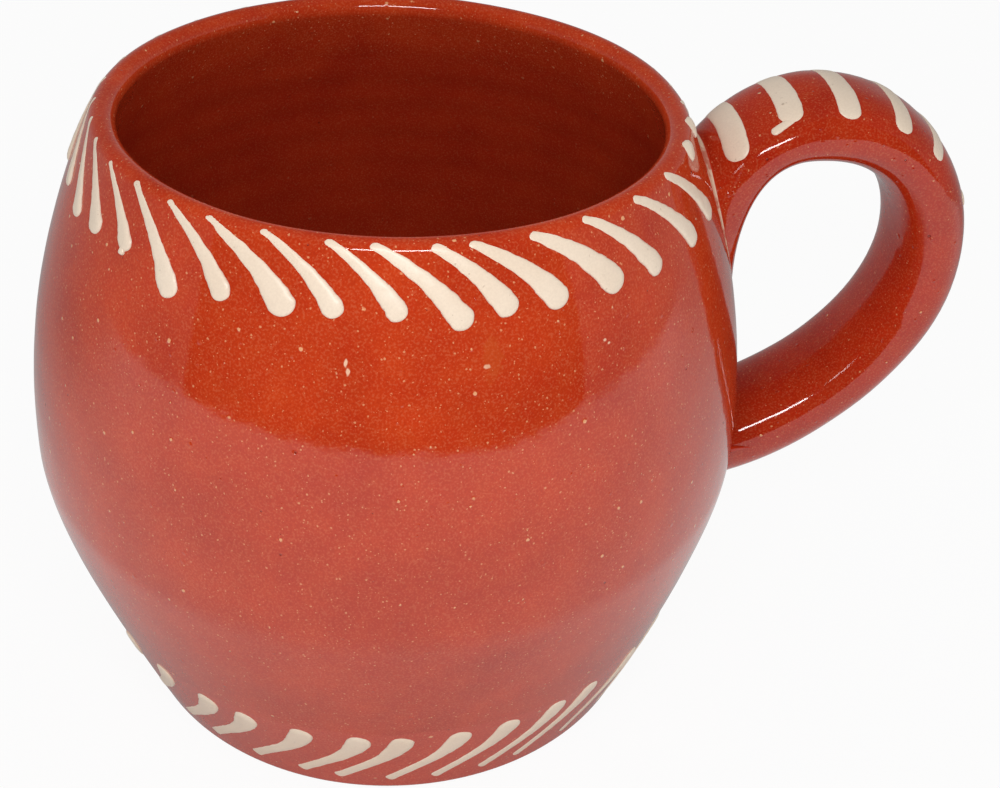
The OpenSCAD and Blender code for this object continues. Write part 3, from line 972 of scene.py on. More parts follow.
@dataclass
class Wall:
    """The thrown body: wall, floor and rolled rim. Sizes are in millimetres.

    A pull is how far a curve keeps to the direction that it starts in. Inside, the throwing rings
    are absent over the quiet share of a distance behind the rim, and then come in over it.
    """

    mug_height: float = 88.0
    belly_radius: float = 50.0
    belly_height: float = 40.5
    base_radius: float = 38.5
    rim_radius: float = 38.8
    rim_thickness: float = 3.5
    belly_wall: float = 4.5
    floor_thickness: float = 6.0
    floor_radius: float = 22.0
    base_edge: float = 1.2
    foot_lean: float = 19.5
    foot_pull: float = 7.6
    belly_fall: float = 9.5
    belly_rise: float = 19.0
    shoulder_lean: float = 26.5
    shoulder_pull: float = 12.5
    inside_fall: float = 22.0
    floor_pull: float = 14.0
    ring_height: float = 0.045
    ring_pitch: float = 5.5
    rings_over: float = 12.0
    quiet_share: float = 0.3
    unevenness: float = 0.12
    ripple: float = 0.012
    lean: float = 0.5
    slope_step: float = 0.05
    curve_steps: int = 44
    rim_steps: tuple[int, int] = (10, 14)
    edge_steps: int = 8
    floor_points: int = 16
    base_points: int = 8
    turns: int = 216
    outer: np.ndarray = field(init=False)
    inner: np.ndarray = field(init=False)

    def __post_init__(self) -> None:
        """Draw the outside and the inside of the wall."""
        rim_round = self.rim_thickness / 2
        rim_centre = np.array([self.rim_radius - rim_round, self.mug_height - rim_round])
        foot = heading(90 - self.foot_lean)
        shoulder = heading(90 + self.shoulder_lean)
        setback = self.base_edge * math.tan(math.radians(90 - self.foot_lean) / 2)
        edge_centre = np.array([self.base_radius - setback, self.base_edge])
        wall_start = np.array([self.base_radius, 0.0]) + setback * foot
        belly = np.array([self.belly_radius, self.belly_height])
        wall_end = rim_centre + rim_round * heading(self.shoulder_lean)
        steps = self.curve_steps
        foot_end = wall_start + self.foot_pull * foot
        below_belly = belly - self.belly_fall * UPRIGHT
        above_belly = belly + self.belly_rise * UPRIGHT
        shoulder_start = wall_end - self.shoulder_pull * shoulder
        self.outer = chained(
            arc(edge_centre, self.base_edge, -90, -self.foot_lean, self.edge_steps),
            cubic(wall_start, foot_end, below_belly, belly, steps),
            cubic(belly, above_belly, shoulder_start, wall_end, steps),
            arc(rim_centre, rim_round, self.shoulder_lean, 90, self.rim_steps[0]),
        )
        neck = rim_centre - rim_round * heading(self.shoulder_lean)
        hollow = np.array([self.belly_radius - self.belly_wall, self.belly_height])
        floor = np.array([self.floor_radius, self.floor_thickness])
        below_neck = neck - self.shoulder_pull * shoulder
        above_hollow = hollow + self.belly_rise * UPRIGHT
        below_hollow = hollow - self.inside_fall * UPRIGHT
        self.inner = chained(
            arc(rim_centre, rim_round, 90, 180 + self.shoulder_lean, self.rim_steps[1]),
            cubic(neck, below_neck, above_hollow, hollow, steps),
            cubic(hollow, below_hollow, floor + [self.floor_pull, 0], floor, steps),
            np.linspace(floor, [0, self.floor_thickness], self.floor_points),
        )

    def radius_at(self, height: np.ndarray | float) -> np.ndarray | float:
        """Radius of the outside at a height."""
        return np.interp(height, self.outer[:, 1], self.outer[:, 0])

    def facing_at(self, height: float) -> np.ndarray:
        """Direction that the outside faces, in the plane of the axis.

        Args:
            height: Height above the ground.

        Returns:
            A unit vector, outwards and upwards.
        """
        step = self.slope_step
        slope = (self.radius_at(height + step) - self.radius_at(height - step)) / (2 * step)
        return np.array([1.0, -slope]) / math.hypot(1.0, slope)

    def build(self) -> bpy.types.Mesh:
        """Turn the profile.

        Returns:
            The mesh of the body.
        """
        base = np.linspace([0, 0], self.outer[0], self.base_points)
        profile = chained(base, self.outer, self.inner)
        inside = np.zeros(len(profile))
        below_rim = travelled(self.inner) / self.rings_over
        inside[-len(self.inner):] = np.clip(below_rim - self.quiet_share, 0, 1)
        guide = guide_mesh(with_sides(profile), {"inside": inside, "travel": travelled(profile) * MM})
        values = {
            "Rows": len(profile),
            "Turns": self.turns,
            "Ring Height": self.ring_height * MM,
            "Ring Pitch": self.ring_pitch * MM,
            "Unevenness": self.unevenness * MM,
            "Ripple": self.ripple * MM,
            "Lean": self.lean * MM,
            "Lean Height": self.belly_height * MM,
        }
        return TurnedWallTree().run("thrown_body", guide, values)

    def dress(self, finish: bpy.types.Material) -> bpy.types.Object:
        """Build the body and give it its finish."""
        return finished_piece("thrown_body", self.build(), ["body"], finish)


class PulledStrapTree(ShapingTree):
    """Lofts the strap over its stations and leaves the marks of pulling on it.

    The pace is the number of waves of the unevenness in a metre. The lines of the pulling hand are
    counted round the section.
    """

    slow_pace = 60.0
    slow_seed = 7.0
    lines_round = 5.0

    def __init__(self) -> None:
        """Build the tree."""
        floats = ("Fullness", "Unevenness", "Pull Marks")
        super().__init__("pulled_strap", {"Rows": "Int", "Sides": "Int", **dict.fromkeys(floats, "Float")})
        n = self.nodes
        sides = self.inputs["Sides"]
        sheet, row, column = self.sheet(n.math("ADD", sides, 1))
        angle = n.math("MULTIPLY", n.math("DIVIDE", column, sides), math.tau)
        sheet = self.store(sheet, "angle", angle)
        middle = self.guide(self.position, row)
        deep = self.guide(self.stored("depth", vector=True), row)
        wide = self.guide(self.stored("width"), row, vector=False)
        aside = n.math("MULTIPLY", self._fuller(n.math("SINE", angle)), wide)
        across = n.add("ShaderNodeCombineXYZ", {"Y": aside}).outputs["Vector"]
        back = n.scaled(deep, self._fuller(n.math("COSINE", angle)))
        strap = self.place(sheet, n.vector("ADD", middle, n.vector("ADD", back, across)))
        marked = self.push(self.weld(strap), self._marks())
        self.end(self.store(marked, FACING, self.facing, vector=True))

    def _fuller(self, value: Socket) -> Socket:
        """Fill the section out with a round-cornered power.

        Args:
            value: A sine or cosine.

        Returns:
            Its power, with its sign kept.
        """
        n = self.nodes
        power = n.math("POWER", n.math("ABSOLUTE", value), n.math("DIVIDE", 2.0, self.inputs["Fullness"]))
        return n.math("MULTIPLY", n.math("SIGN", value), power)

    def _marks(self) -> Socket:
        """Height of the uneven surface and of the long marks of the pulling hand.

        Returns:
            The height, in metres.
        """
        n = self.nodes
        wander = n.noise(self.position, self.slow_pace, 1.0, self.slow_seed)
        slow = n.math("MULTIPLY", wander, self.inputs["Unevenness"])
        lines = n.math("SINE", n.math("MULTIPLY", self.stored("angle"), self.lines_round))
        return n.math("MULTIPLY_ADD", lines, self.inputs["Pull Marks"], slow)


@dataclass
class Strap:
    """The pulled handle, lofted between two outlines. Sizes are in millimetres."""

    wall: Wall
    width: float = 18.0
    thickness: float = 9.8
    fullness: float = 2.3
    crown_drop: float = 7.5
    crown_climb: float = 60.0
    crown_pull: float = 5.5
    arch_reach: float = 18.7
    arch_drop: float = 3.0
    arch_in: float = 5.0
    arch_out: float = 13.0
    reach: float = 26.5
    reach_share: float = 0.61
    reach_rise: float = 10.0
    reach_fall: float = 16.0
    tail_share: float = 0.67
    tail_pull_share: float = 1.0
    heel_drop: float = 1.0
    heel_thickness: float = 12.5
    heel_climb: float = 17.5
    heel_low_climb: float = 6.0
    heel_pull: float = 9.5
    heel_low_pull: float = 14.0
    root_spread: float = 2.0
    root_sink: float = 0.9
    root_bury: float = 1.8
    round_share: float = 0.5523
    unevenness: float = 0.1
    pull_marks: float = 0.03
    curve_steps: int = 30
    sides: int = 56
    back: np.ndarray = field(init=False)
    grip: np.ndarray = field(init=False)
    widths: np.ndarray = field(init=False)

    def __post_init__(self) -> None:
        """Draw the two outlines and the width at each station."""
        wall = self.wall
        crown_height = wall.mug_height - self.crown_drop
        heel_height = wall.belly_height - self.heel_drop
        handle_height = crown_height - heel_height
        tail_length = self.tail_share * handle_height
        tail_height = crown_height - tail_length
        arch_point = np.array([wall.rim_radius + self.arch_reach, wall.mug_height - self.arch_drop])
        reach_height = heel_height + self.reach_share * handle_height
        reach_point = np.array([wall.belly_radius + self.reach, reach_height])
        crown = self._root(crown_height)
        tail = self._root(tail_height)
        heel = self._root(heel_height)
        heel_low = self._root(heel_height - self.heel_thickness)
        facing = wall.facing_at(tail_height)
        up_the_wall = np.array([-facing[1], facing[0]])

        def outline(
            side: int, root: np.ndarray, leave: np.ndarray, end: np.ndarray, arrive: np.ndarray
        ) -> np.ndarray:
            """Draw one outline of the strap.

            Args:
                side: The outer side (1) or the inner one (-1).
                root: Where it leaves the wall.
                leave: Point that it leaves the wall towards.
                end: Where it comes back to the wall.
                arrive: Point that it comes back from.

            Returns:
                The points of the outline.
            """
            out = side * self.thickness / 2
            arch = arch_point + [0, out]
            far = reach_point + [out, 0]
            extra = self.round_share * out
            steps = self.curve_steps
            past_arch = arch + [self.arch_out + extra, 0]
            above_far = far + (self.reach_rise + extra) * UPRIGHT
            below_far = far - (self.reach_fall + extra) * UPRIGHT
            return chained(
                cubic(root, leave, arch - [self.arch_in, 0], arch, steps),
                cubic(arch, past_arch, above_far, far, steps),
                cubic(far, below_far, arrive, end, steps),
            )

        self.back = outline(
            1, crown, crown + self.crown_pull * heading(self.crown_climb),
            heel_low, heel_low + self.heel_low_pull * heading(self.heel_low_climb),
        )
        self.grip = outline(
            -1, tail, tail + self.tail_pull_share * tail_length * up_the_wall,
            heel, heel + self.heel_pull * heading(self.heel_climb),
        )
        travel = travelled(self.back)
        near = np.minimum(travel, travel[-1] - travel)
        part = np.clip(1 - near / (2 * self.root_spread), 0, 1)
        self.widths = self.width / 2 + self.root_spread * (1 - np.sqrt(1 - part**2))

    def _root(self, height: float) -> np.ndarray:
        """A point just inside the wall at a height."""
        return np.array([self.wall.radius_at(height) - self.root_sink, height])

    def side_lines(self, sides: int) -> np.ndarray:
        """Lines that run along the surface of the strap from its upper to its lower root.

        Args:
            sides: Number of lines round the section.

        Returns:
            The points, by line and station, in millimetres in space.
        """
        angles = np.arange(sides) * math.tau / sides
        power = 2 / self.fullness
        waves = np.cos(angles), np.sin(angles)
        cosines, sines = (np.sign(wave) * np.abs(wave) ** power for wave in waves)
        middle = (self.back + self.grip) / 2
        depth = (self.back - self.grip) / 2
        flat = middle[None] + cosines[:, None, None] * depth[None]
        aside = sines[:, None] * self.widths[None]
        return np.stack([flat[..., 0], aside, flat[..., 1]], axis=-1)

    def build(self) -> bpy.types.Mesh:
        """Loft the strap.

        Returns:
            The mesh of the handle, closed inside the wall.
        """
        middle = (self.back + self.grip) / 2
        depth = (self.back - self.grip) / 2
        buried = np.array([self.root_bury, 0.0])
        rows = [0, 0] + list(range(len(middle))) + [-1, -1]
        sink = np.zeros((len(rows), 2))
        sink[[0, 1, -2, -1]] = buried
        share = np.ones(len(rows))
        share[[0, -1]] = 0.0
        guide = guide_mesh(
            with_sides(middle[rows] - sink),
            {
                "depth": with_sides(depth[rows] * share[:, None]),
                "width": self.widths[rows] * share * MM,
            },
        )
        values = {
            "Rows": len(rows),
            "Sides": self.sides,
            "Fullness": self.fullness,
            "Unevenness": self.unevenness * MM,
            "Pull Marks": self.pull_marks * MM,
        }
        return PulledStrapTree().run("pulled_handle", guide, values)

    def dress(self, finish: bpy.types.Material) -> bpy.types.Object:
        """Build the handle and give it its finish."""
        return finished_piece("pulled_handle", self.build(), ["handle"], finish)


class Root(Enum):
    """The two places where the strap is luted to the wall."""

    UPPER = "upper_luting"
    LOWER = "lower_luting"


@dataclass
class Luting:
    """The bead of slip along the seam between the wall and one root of the strap.

    It reaches out from the seam over the wall and over the strap, and its back is buried at a depth
    in both. Lengths are in millimetres.
    """

    strap: Strap
    root: Root
    body: bpy.types.Object
    handle: bpy.types.Object
    sides: int = 120
    reach: float = 1.0
    tuck: float = 0.03
    depth: float = 0.8
    profile_steps: int = 8

    @staticmethod
    def _surface(piece: bpy.types.Object) -> BVHTree:
        """Search tree over the faces of a piece."""
        mesh = piece.data
        return BVHTree.FromPolygons([v.co for v in mesh.vertices], [p.vertices for p in mesh.polygons])

    def _tucked(self, surface: BVHTree, point: np.ndarray) -> np.ndarray:
        """Point just under a surface, nearest to a point. Both are in millimetres."""
        place, facing = surface.find_nearest(Vector(point * MM))[:2]
        return np.array(place) / MM - self.tuck * np.array(facing)

    def build(self) -> bpy.types.Mesh:
        """Fill the corner between the wall and the strap all round the root.

        Returns:
            The mesh of the bead.
        """
        body_surface = self._surface(self.body)
        handle_surface = self._surface(self.handle)
        wall = self.strap.wall
        lines = self.strap.side_lines(self.sides)
        if self.root is Root.LOWER:
            lines = lines[:, ::-1]
        centre = lines.mean(axis=0)
        rings = []
        for line in lines:
            outside = np.hypot(line[:, 0], line[:, 1]) - wall.radius_at(line[:, 2])
            last_in = int(np.nonzero(outside > 0)[0][0]) - 1
            share = outside[last_in] / (outside[last_in] - outside[last_in + 1])
            travel = travelled(line)
            at = travel[last_in] + share * (travel[last_in + 1] - travel[last_in])
            seam = self._along(line, travel, at)
            on_strap = self._tucked(handle_surface, self._along(line, travel, at + self.reach))
            azimuth = math.atan2(seam[1], seam[0])
            flat = wall.facing_at(seam[2])
            facing = np.array([flat[0] * math.cos(azimuth), flat[0] * math.sin(azimuth), flat[1]])
            away = seam - self._along(centre, travelled(centre), at)
            away = away - away @ facing * facing
            away /= np.linalg.norm(away)
            on_wall = self._tucked(body_surface, seam + self.reach * away)
            buried = seam - self.depth * (facing + away)
            shares = np.linspace(0, 1, self.profile_steps + 1)[:, None]
            hollow = (1 - shares) ** 2 * on_wall + 2 * shares * (1 - shares) * seam + shares**2 * on_strap
            rings.append(np.vstack([hollow, buried]))
        return self._skin(np.array(rings) * MM)

    @staticmethod
    def _along(line: np.ndarray, travel: np.ndarray, at: float) -> np.ndarray:
        """Point of a line at a distance travelled."""
        return np.array([np.interp(at, travel, line[:, axis]) for axis in range(3)])

    def _skin(self, rings: np.ndarray) -> bpy.types.Mesh:
        """Join closed rings that go once round the seam.

        Args:
            rings: Points by ring.

        Returns:
            The closed mesh.
        """
        count, size = rings.shape[:2]
        numbers = np.arange(count * size).reshape(count, size)
        ahead = np.roll(numbers, -1, axis=0)
        corners = (numbers, ahead, np.roll(ahead, -1, axis=1), np.roll(numbers, -1, axis=1))
        faces = np.stack(corners, axis=-1).reshape(-1, 4).tolist()
        mesh = bpy.data.meshes.new(self.root.value)
        mesh.from_pydata(rings.reshape(-1, 3).tolist(), [], faces)
        edge = np.append(np.linspace(1, 0, size - 1), 0.0)
        mark_points(mesh, "edge", np.tile(edge, count))
        shape = bmesh.new()
        shape.from_mesh(mesh)
        bmesh.ops.recalc_face_normals(shape, faces=shape.faces)
        shape.to_mesh(mesh)
        shape.free()
        mesh.shade_smooth()
        return mesh

    def dress(self, finish: bpy.types.Material) -> bpy.types.Object:
        """Build the bead and give it its finish."""
        name = f"{self.root.value}_bead"
        return finished_piece(name, self.build(), [self.root.value], finish)


# Slip strokes


class Border(Enum):
    """The three borders of trailed strokes."""

    RIM = "rim_stroke"
    HANDLE = "handle_stroke"
    FOOT = "foot_strokes"


@dataclass(frozen=True)
class StrokeStyle:
    """How the strokes of one border are laid. Lengths are in millimetres.

    The widths are shares of the head's radius at even steps from the tail to the head. The heads,
    slimness, slants, overhangs and laid shares are for one stroke after another, over and over
    round the border. A slant shifts the tail sideways, an overhang starts it further back.
    """

    head_radius: float
    tail_radius: float
    relief: float
    sway: float
    blunt: float
    wobble: float
    widths: tuple[float, ...]
    heads: tuple[float, ...] = (1.0,)
    slimness: tuple[float, ...] = (0.0,)
    slants: tuple[float, ...] = (0.0,)
    overhangs: tuple[float, ...] = (0.0,)
    laid: tuple[float, ...] = (1.0,)


# Half a round of rim strokes; the two beside the handle's root come after them
RIM_HEADS = (1, 0.97, 1.1, 0.9, 1.1, 0.94, 1.2, 0.9, 0.87, 0.96, 1, 1.04, 1.08, 0.94, 0.92, 0.95)
RIM_SLIMNESS = (0.32, 0.32, 0.32, 0.32, 0.28, 0.22, 0.22, 0.15, 0.1, 0, 0, 0, -0.1, 0, 0, 0)

STYLES = {
    Border.RIM: StrokeStyle(
        head_radius=1.55,
        tail_radius=0.6,
        relief=0.45,
        sway=0.0,
        blunt=2.1,
        wobble=0.15,
        widths=(0.49, 0.44, 0.48, 0.56, 0.65, 0.76, 0.89, 1.0, 1.0),
        heads=RIM_HEADS + (1.1, 1.1) + RIM_HEADS + (1, 1),
        slimness=RIM_SLIMNESS + (-0.4, -0.4) + RIM_SLIMNESS + (0, 0),
        slants=(0, -0.3, -0.6, -0.8, -0.1, -1.2, -2, -0.9, -0.3, -0.7, -0.3, -1.1, -1.1, -0.2, -0.4)
        + (0, 0, 0),
        overhangs=(0.4, 0.6, 0.7, 0.6, 0, 1.5, 2.4, 1.5, 0.7, 1.1, 0.2, 1.4, 1.4, 0.7, 0.5, 0, 0, 0),
        laid=(1, 1, 1, 0.94) + (1,) * 12 + (0.5, 0.5) + (1,) * 18,
    ),
    Border.HANDLE: StrokeStyle(
        head_radius=1.75,
        tail_radius=1.2,
        relief=0.2,
        sway=0.0,
        blunt=2.2,
        wobble=0.05,
        widths=(0.85, 0.9, 0.93, 0.95, 0.97, 0.99, 1.0, 0.99, 0.96),
        heads=(1.08, 1, 0.95, 0.85, 0.72, 0.6),
        slants=(-1.2, -1.2, -1.6, -1.6, -0.5, 0),
        overhangs=(1.6,),
        laid=(1, 1, 1, 1, 1, 1.25),
    ),
    Border.FOOT: StrokeStyle(
        head_radius=1.75,
        tail_radius=0.7,
        relief=0.3,
        sway=0.3,
        blunt=2.3,
        wobble=0.1,
        widths=(0.56, 0.52, 0.52, 0.54, 0.6, 0.7, 0.87, 1.0, 1.0),
    ),
}


@dataclass(frozen=True)
class Drip:
    """A small run of slip beside a stroke, from one place to another. Lengths are in millimetres."""

    start: tuple[float, float, float]
    end: tuple[float, float, float]
    radius: float


DRIPS = {
    "rim_stroke_04": Drip((-33.1, -24.3, 81.9), (-33.55, -25.0, 79.9), 0.5),
    "handle_stroke_02": Drip((52.2, -6.4, 87.6), (49.0, -7.1, 85.6), 0.6),
}


class TrailedStrokeTree(ShapingTree):
    """Lays a stroke of slip along a path over the clay, from its tail to its head.

    A power sets how a level changes along or across the stroke. The tail is fed with a share of the
    slip and has its full height after a share of the way. The pace is the number of waves of the
    wobble in a metre, and the wobble of the two sides differs as if they lay apart by twice its side.
    """

    slant_power = 1.5
    dome_power = 3.0
    slimness_power = 4.0
    tail_power = 2.0
    tail_feed = 0.55
    fed_after = 0.5
    wobble_pace = 620.0
    wobble_detail = 3.0
    wobble_side = 1.5 * MM

    def __init__(self, border: Border, style: StrokeStyle) -> None:
        """Build the tree.

        Args:
            border: The border that it lays.
            style: How its strokes are laid.
        """
        lengths = ("Head Radius", "Tail Radius", "Relief", "Sink", "Sway", "Slant")
        floats = (*lengths, "Slimness", "Bluntness", "Wobble", "Seed")
        whole = {"Clay": "Object", "Rows": "Int", "Columns": "Int"}
        super().__init__(f"trailed_{border.value}", {**whole, **dict.fromkeys(floats, "Float")})
        n = self.nodes
        source = self.inputs
        columns = source["Columns"]
        sheet, row, column = self.sheet(columns)
        steps = n.math("DIVIDE", row, n.math("SUBTRACT", source["Rows"], 1))
        eased = n.math("COSINE", n.math("MULTIPLY", steps, math.pi))
        along = n.math("MULTIPLY_ADD", eased, -0.5, 0.5, clamp=True)
        spread = n.math("DIVIDE", column, n.math("SUBTRACT", columns, 1))
        aside = n.math("SINE", n.math("MULTIPLY_ADD", spread, math.pi, -math.pi / 2))

        path = n.add("GeometryNodeMeshToCurve", {"Mesh": source["Geometry"]}).outputs["Curve"]
        on_path = n.add("GeometryNodeSampleCurve", {"Curves": path, "Factor": along}, mode="FACTOR").outputs
        inputs = {"Object": source["Clay"]}
        self.clay = n.add("GeometryNodeObjectInfo", inputs, transform_space="RELATIVE").outputs["Geometry"]
        clay_facing = self.stored(FACING, vector=True)
        facing = self._nearest(clay_facing, on_path["Position"])
        sideways = n.vector("NORMALIZE", n.vector("CROSS_PRODUCT", facing, on_path["Tangent"]))

        half = self._half_width(along, aside, path, style)
        sway = n.math("MULTIPLY", n.math("SINE", n.math("MULTIPLY", along, math.tau)), source["Sway"])
        to_go = n.math("POWER", n.math("SUBTRACT", 1.0, along, clamp=True), self.slant_power)
        course = n.math("MULTIPLY_ADD", to_go, source["Slant"], sway)
        shift = n.math("MULTIPLY_ADD", aside, half, course)
        laid = n.vector("ADD", on_path["Position"], n.scaled(sideways, shift))
        seat = self._nearest(self.position, laid)
        out = n.vector("NORMALIZE", self._nearest(clay_facing, laid))

        share = n.math("DIVIDE", half, source["Head Radius"], clamp=True)
        fallen = n.math("POWER", n.math("ABSOLUTE", aside), self.dome_power)
        dome = n.math("SUBTRACT", 1.0, fallen, clamp=True)
        fed = n.math("MULTIPLY", share, n.ramp(along, 0.0, self.fed_after, self.tail_feed, 1.0))
        cover = n.math("SQRT", dome)
        full = n.math("ADD", source["Relief"], source["Sink"])
        sunk = n.math("MULTIPLY", source["Sink"], -1.0)
        height = n.math("MULTIPLY_ADD", n.math("MULTIPLY", fed, cover), full, sunk)
        top = self.store(sheet, "cover", cover)
        top = self.place(top, n.vector("ADD", seat, n.scaled(out, height)))
        under = self.place(sheet, n.vector("ADD", seat, n.scaled(out, sunk)))
        under = n.add("GeometryNodeFlipFaces", {"Mesh": under}).outputs["Mesh"]
        both = n.add("GeometryNodeJoinGeometry", {"Geometry": under})
        n.feed(both.inputs["Geometry"], top)
        self.end(self.weld(both.outputs["Geometry"]))

    def _nearest(self, value: Socket, place: Socket) -> Socket:
        """Read the clay's surface where it is nearest to a place.

        Args:
            value: Vector to read there.
            place: The place.

        Returns:
            The vector.
        """
        inputs = {"Mesh": self.clay, "Value": value, "Sample Position": place}
        node = self.nodes.add("GeometryNodeSampleNearestSurface", inputs, data_type="FLOAT_VECTOR")
        return node.outputs["Value"]

    def _half_width(self, along: Socket, aside: Socket, path: Socket, style: StrokeStyle) -> Socket:
        """Half the width of the stroke, round at its tail and blunt at its head.

        Args:
            along: Share of the way from the tail to the head.
            aside: Place across the stroke, from -1 to 1.
            path: The path, as a curve.
            style: How the strokes are laid.

        Returns:
            Half the width.
        """
        n = self.nodes
        source = self.inputs
        shape = n.add("ShaderNodeFloatCurve", {"Value": along})
        curve = shape.mapping.curves[0]
        last = len(style.widths) - 1
        for number, width in enumerate(style.widths):
            place = number / last
            if number in (0, last):
                curve.points[0 if number == 0 else -1].location = (place, width)
            else:
                curve.points.new(place, width)
        shape.mapping.update()
        length = n.add("GeometryNodeCurveLength", {"Curve": path}).outputs["Length"]
        half = n.math("MULTIPLY", shape.outputs[0], source["Head Radius"])
        from_tail = n.math("MULTIPLY", along, length)
        from_head = n.math("SUBTRACT", length, from_tail)
        sideways = n.math("MULTIPLY", aside, self.wobble_side)
        trail = n.add("ShaderNodeCombineXYZ", {"X": from_tail, "Y": sideways}).outputs["Vector"]
        uneven = n.noise(trail, self.wobble_pace, self.wobble_detail, source["Seed"])
        half = n.math("MULTIPLY", half, n.math("MULTIPLY_ADD", uneven, source["Wobble"], 1.0))
        near_head = n.math("POWER", along, self.slimness_power)
        before_head = n.math("SUBTRACT", 1.0, near_head, clamp=True)
        slimmed = n.math("SUBTRACT", 1.0, n.math("MULTIPLY", before_head, source["Slimness"]))
        half = n.math("MULTIPLY", half, slimmed)
        tail_end = self._end_round(from_tail, source["Tail Radius"], self.tail_power)
        head_end = self._end_round(from_head, source["Head Radius"], source["Bluntness"])
        return n.math("MULTIPLY", half, n.math("MULTIPLY", tail_end, head_end))

    def _end_round(self, distance: Socket, radius: Socket, power: object) -> Socket:
        """Round an end of the stroke off.

        Args:
            distance: Distance from the end.
            radius: Distance over which the end is round.
            power: 2 for a circle, more for a blunter end.

        Returns:
            The share of the width that is left there.
        """
        n = self.nodes
        gone = n.math("SUBTRACT", 1.0, n.math("DIVIDE", distance, radius), clamp=True)
        left = n.math("SUBTRACT", 1.0, n.math("POWER", gone, power), clamp=True)
        return n.math("POWER", left, n.math("DIVIDE", 1.0, power))


@dataclass
class StrokeBorder:
    """One border of strokes. Each piece stands for one node, with one or three strokes in it.

    The sink is in millimetres. The weld is the distance, in metres, within which points of a solid
    are one point.
    """

    border: Border
    style: StrokeStyle
    clay: bpy.types.Object
    rows: int = 52
    columns: int = 15
    path_steps: int = 24
    path_power: int = 3
    sink: float = 0.06
    weld: float = 0.001 * MM
    seed_step: int = 10

    def paths(self, node: str, overhang: float, laid: float) -> list[np.ndarray]:
        """Paths of the strokes of a node, from tail to head, read off its solids.

        Args:
            node: Name of the node.
            overhang: How far behind its solid a stroke starts, in millimetres.
            laid: Share of the way that the slip was laid before it stopped.

        Returns:
            The paths, in metres, just over the clay.
        """
        shape = bmesh.new()
        shape.from_mesh(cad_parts[node].data)
        bmesh.ops.remove_doubles(shape, verts=shape.verts, dist=self.weld)
        waiting = set(shape.verts)
        paths = []
        while waiting:
            island = set()
            edge = {min(waiting, key=lambda vert: vert.index)}
            while edge:
                island |= edge
                edge = {other.other_vert(vert) for vert in edge for other in vert.link_edges} - island
            waiting -= island
            points = np.array([vert.co for vert in sorted(island, key=lambda vert: vert.index)])
            paths.append(self._path(points, overhang, laid))
        shape.free()
        return paths

    def _path(self, points: np.ndarray, overhang: float, laid: float) -> np.ndarray:
        """Fit a smooth path through the points of one stroke.

        Args:
            points: The points of its solid.
            overhang: How far behind the solid the path starts, in millimetres.
            laid: Share of the way that the slip was laid before it stopped.

        Returns:
            The path from the tail to the head.
        """
        middle = points.mean(axis=0)
        axis = np.linalg.svd(points - middle)[2][0]
        tail_first = {
            Border.RIM: -axis[2],
            Border.HANDLE: -axis[1],
            Border.FOOT: axis[2],
        }[self.border]
        axis = axis * np.sign(tail_first)
        travel = (points - middle) @ axis
        start, end = travel.min(), travel.max()
        spots = np.linspace(start - overhang * MM, start + laid * (end - start), self.path_steps)
        fits = [np.polynomial.Polynomial.fit(travel, column, self.path_power) for column in points.T]
        return np.column_stack([fit(spots) for fit in fits])

    def build(self, finish: bpy.types.Material) -> list[bpy.types.Object]:
        """Lay the strokes of the border.

        Args:
            finish: The slip.

        Returns:
            One piece for each node.
        """
        style = self.style
        tree = TrailedStrokeTree(self.border, style)
        pieces = []
        names = sorted(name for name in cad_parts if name.startswith(self.border.value + "_"))
        for number, node in enumerate(names):
            shape = bmesh.new()
            lists = (style.heads, style.slimness, style.slants, style.overhangs, style.laid)
            head, slim, slant, overhang, laid = (values[number % len(values)] for values in lists)
            head_radius = head * style.head_radius
            laps = [(path, head_radius, slim, slant) for path in self.paths(node, overhang, laid)]
            if node in DRIPS:
                drip = DRIPS[node]
                way = np.linspace(drip.start, drip.end, self.path_steps) * MM
                laps.append((way, drip.radius, 0.0, 0.0))
            for part, (path, radius, slim, slant) in enumerate(laps):
                values = {
                    "Clay": self.clay,
                    "Rows": self.rows,
                    "Columns": self.columns,
                    "Head Radius": radius * MM,
                    "Tail Radius": style.tail_radius * MM,
                    "Relief": style.relief * MM,
                    "Sink": self.sink * MM,
                    "Sway": style.sway * MM,
                    "Slant": slant * MM,
                    "Slimness": float(slim),
                    "Bluntness": style.blunt,
                    "Wobble": style.wobble,
                    "Seed": float(self.seed_step * number + part),
                    "Finish": finish,
                }
                made = tree.run(node, guide_mesh(path), values)
                shape.from_mesh(made)
                bpy.data.meshes.remove(made)
            mesh = bpy.data.meshes.new(f"{node}_slip")
            shape.to_mesh(mesh)
            shape.free()
            pieces.append(finished_piece(f"{node}_slip", mesh, [node], finish))
        return pieces


# Studio


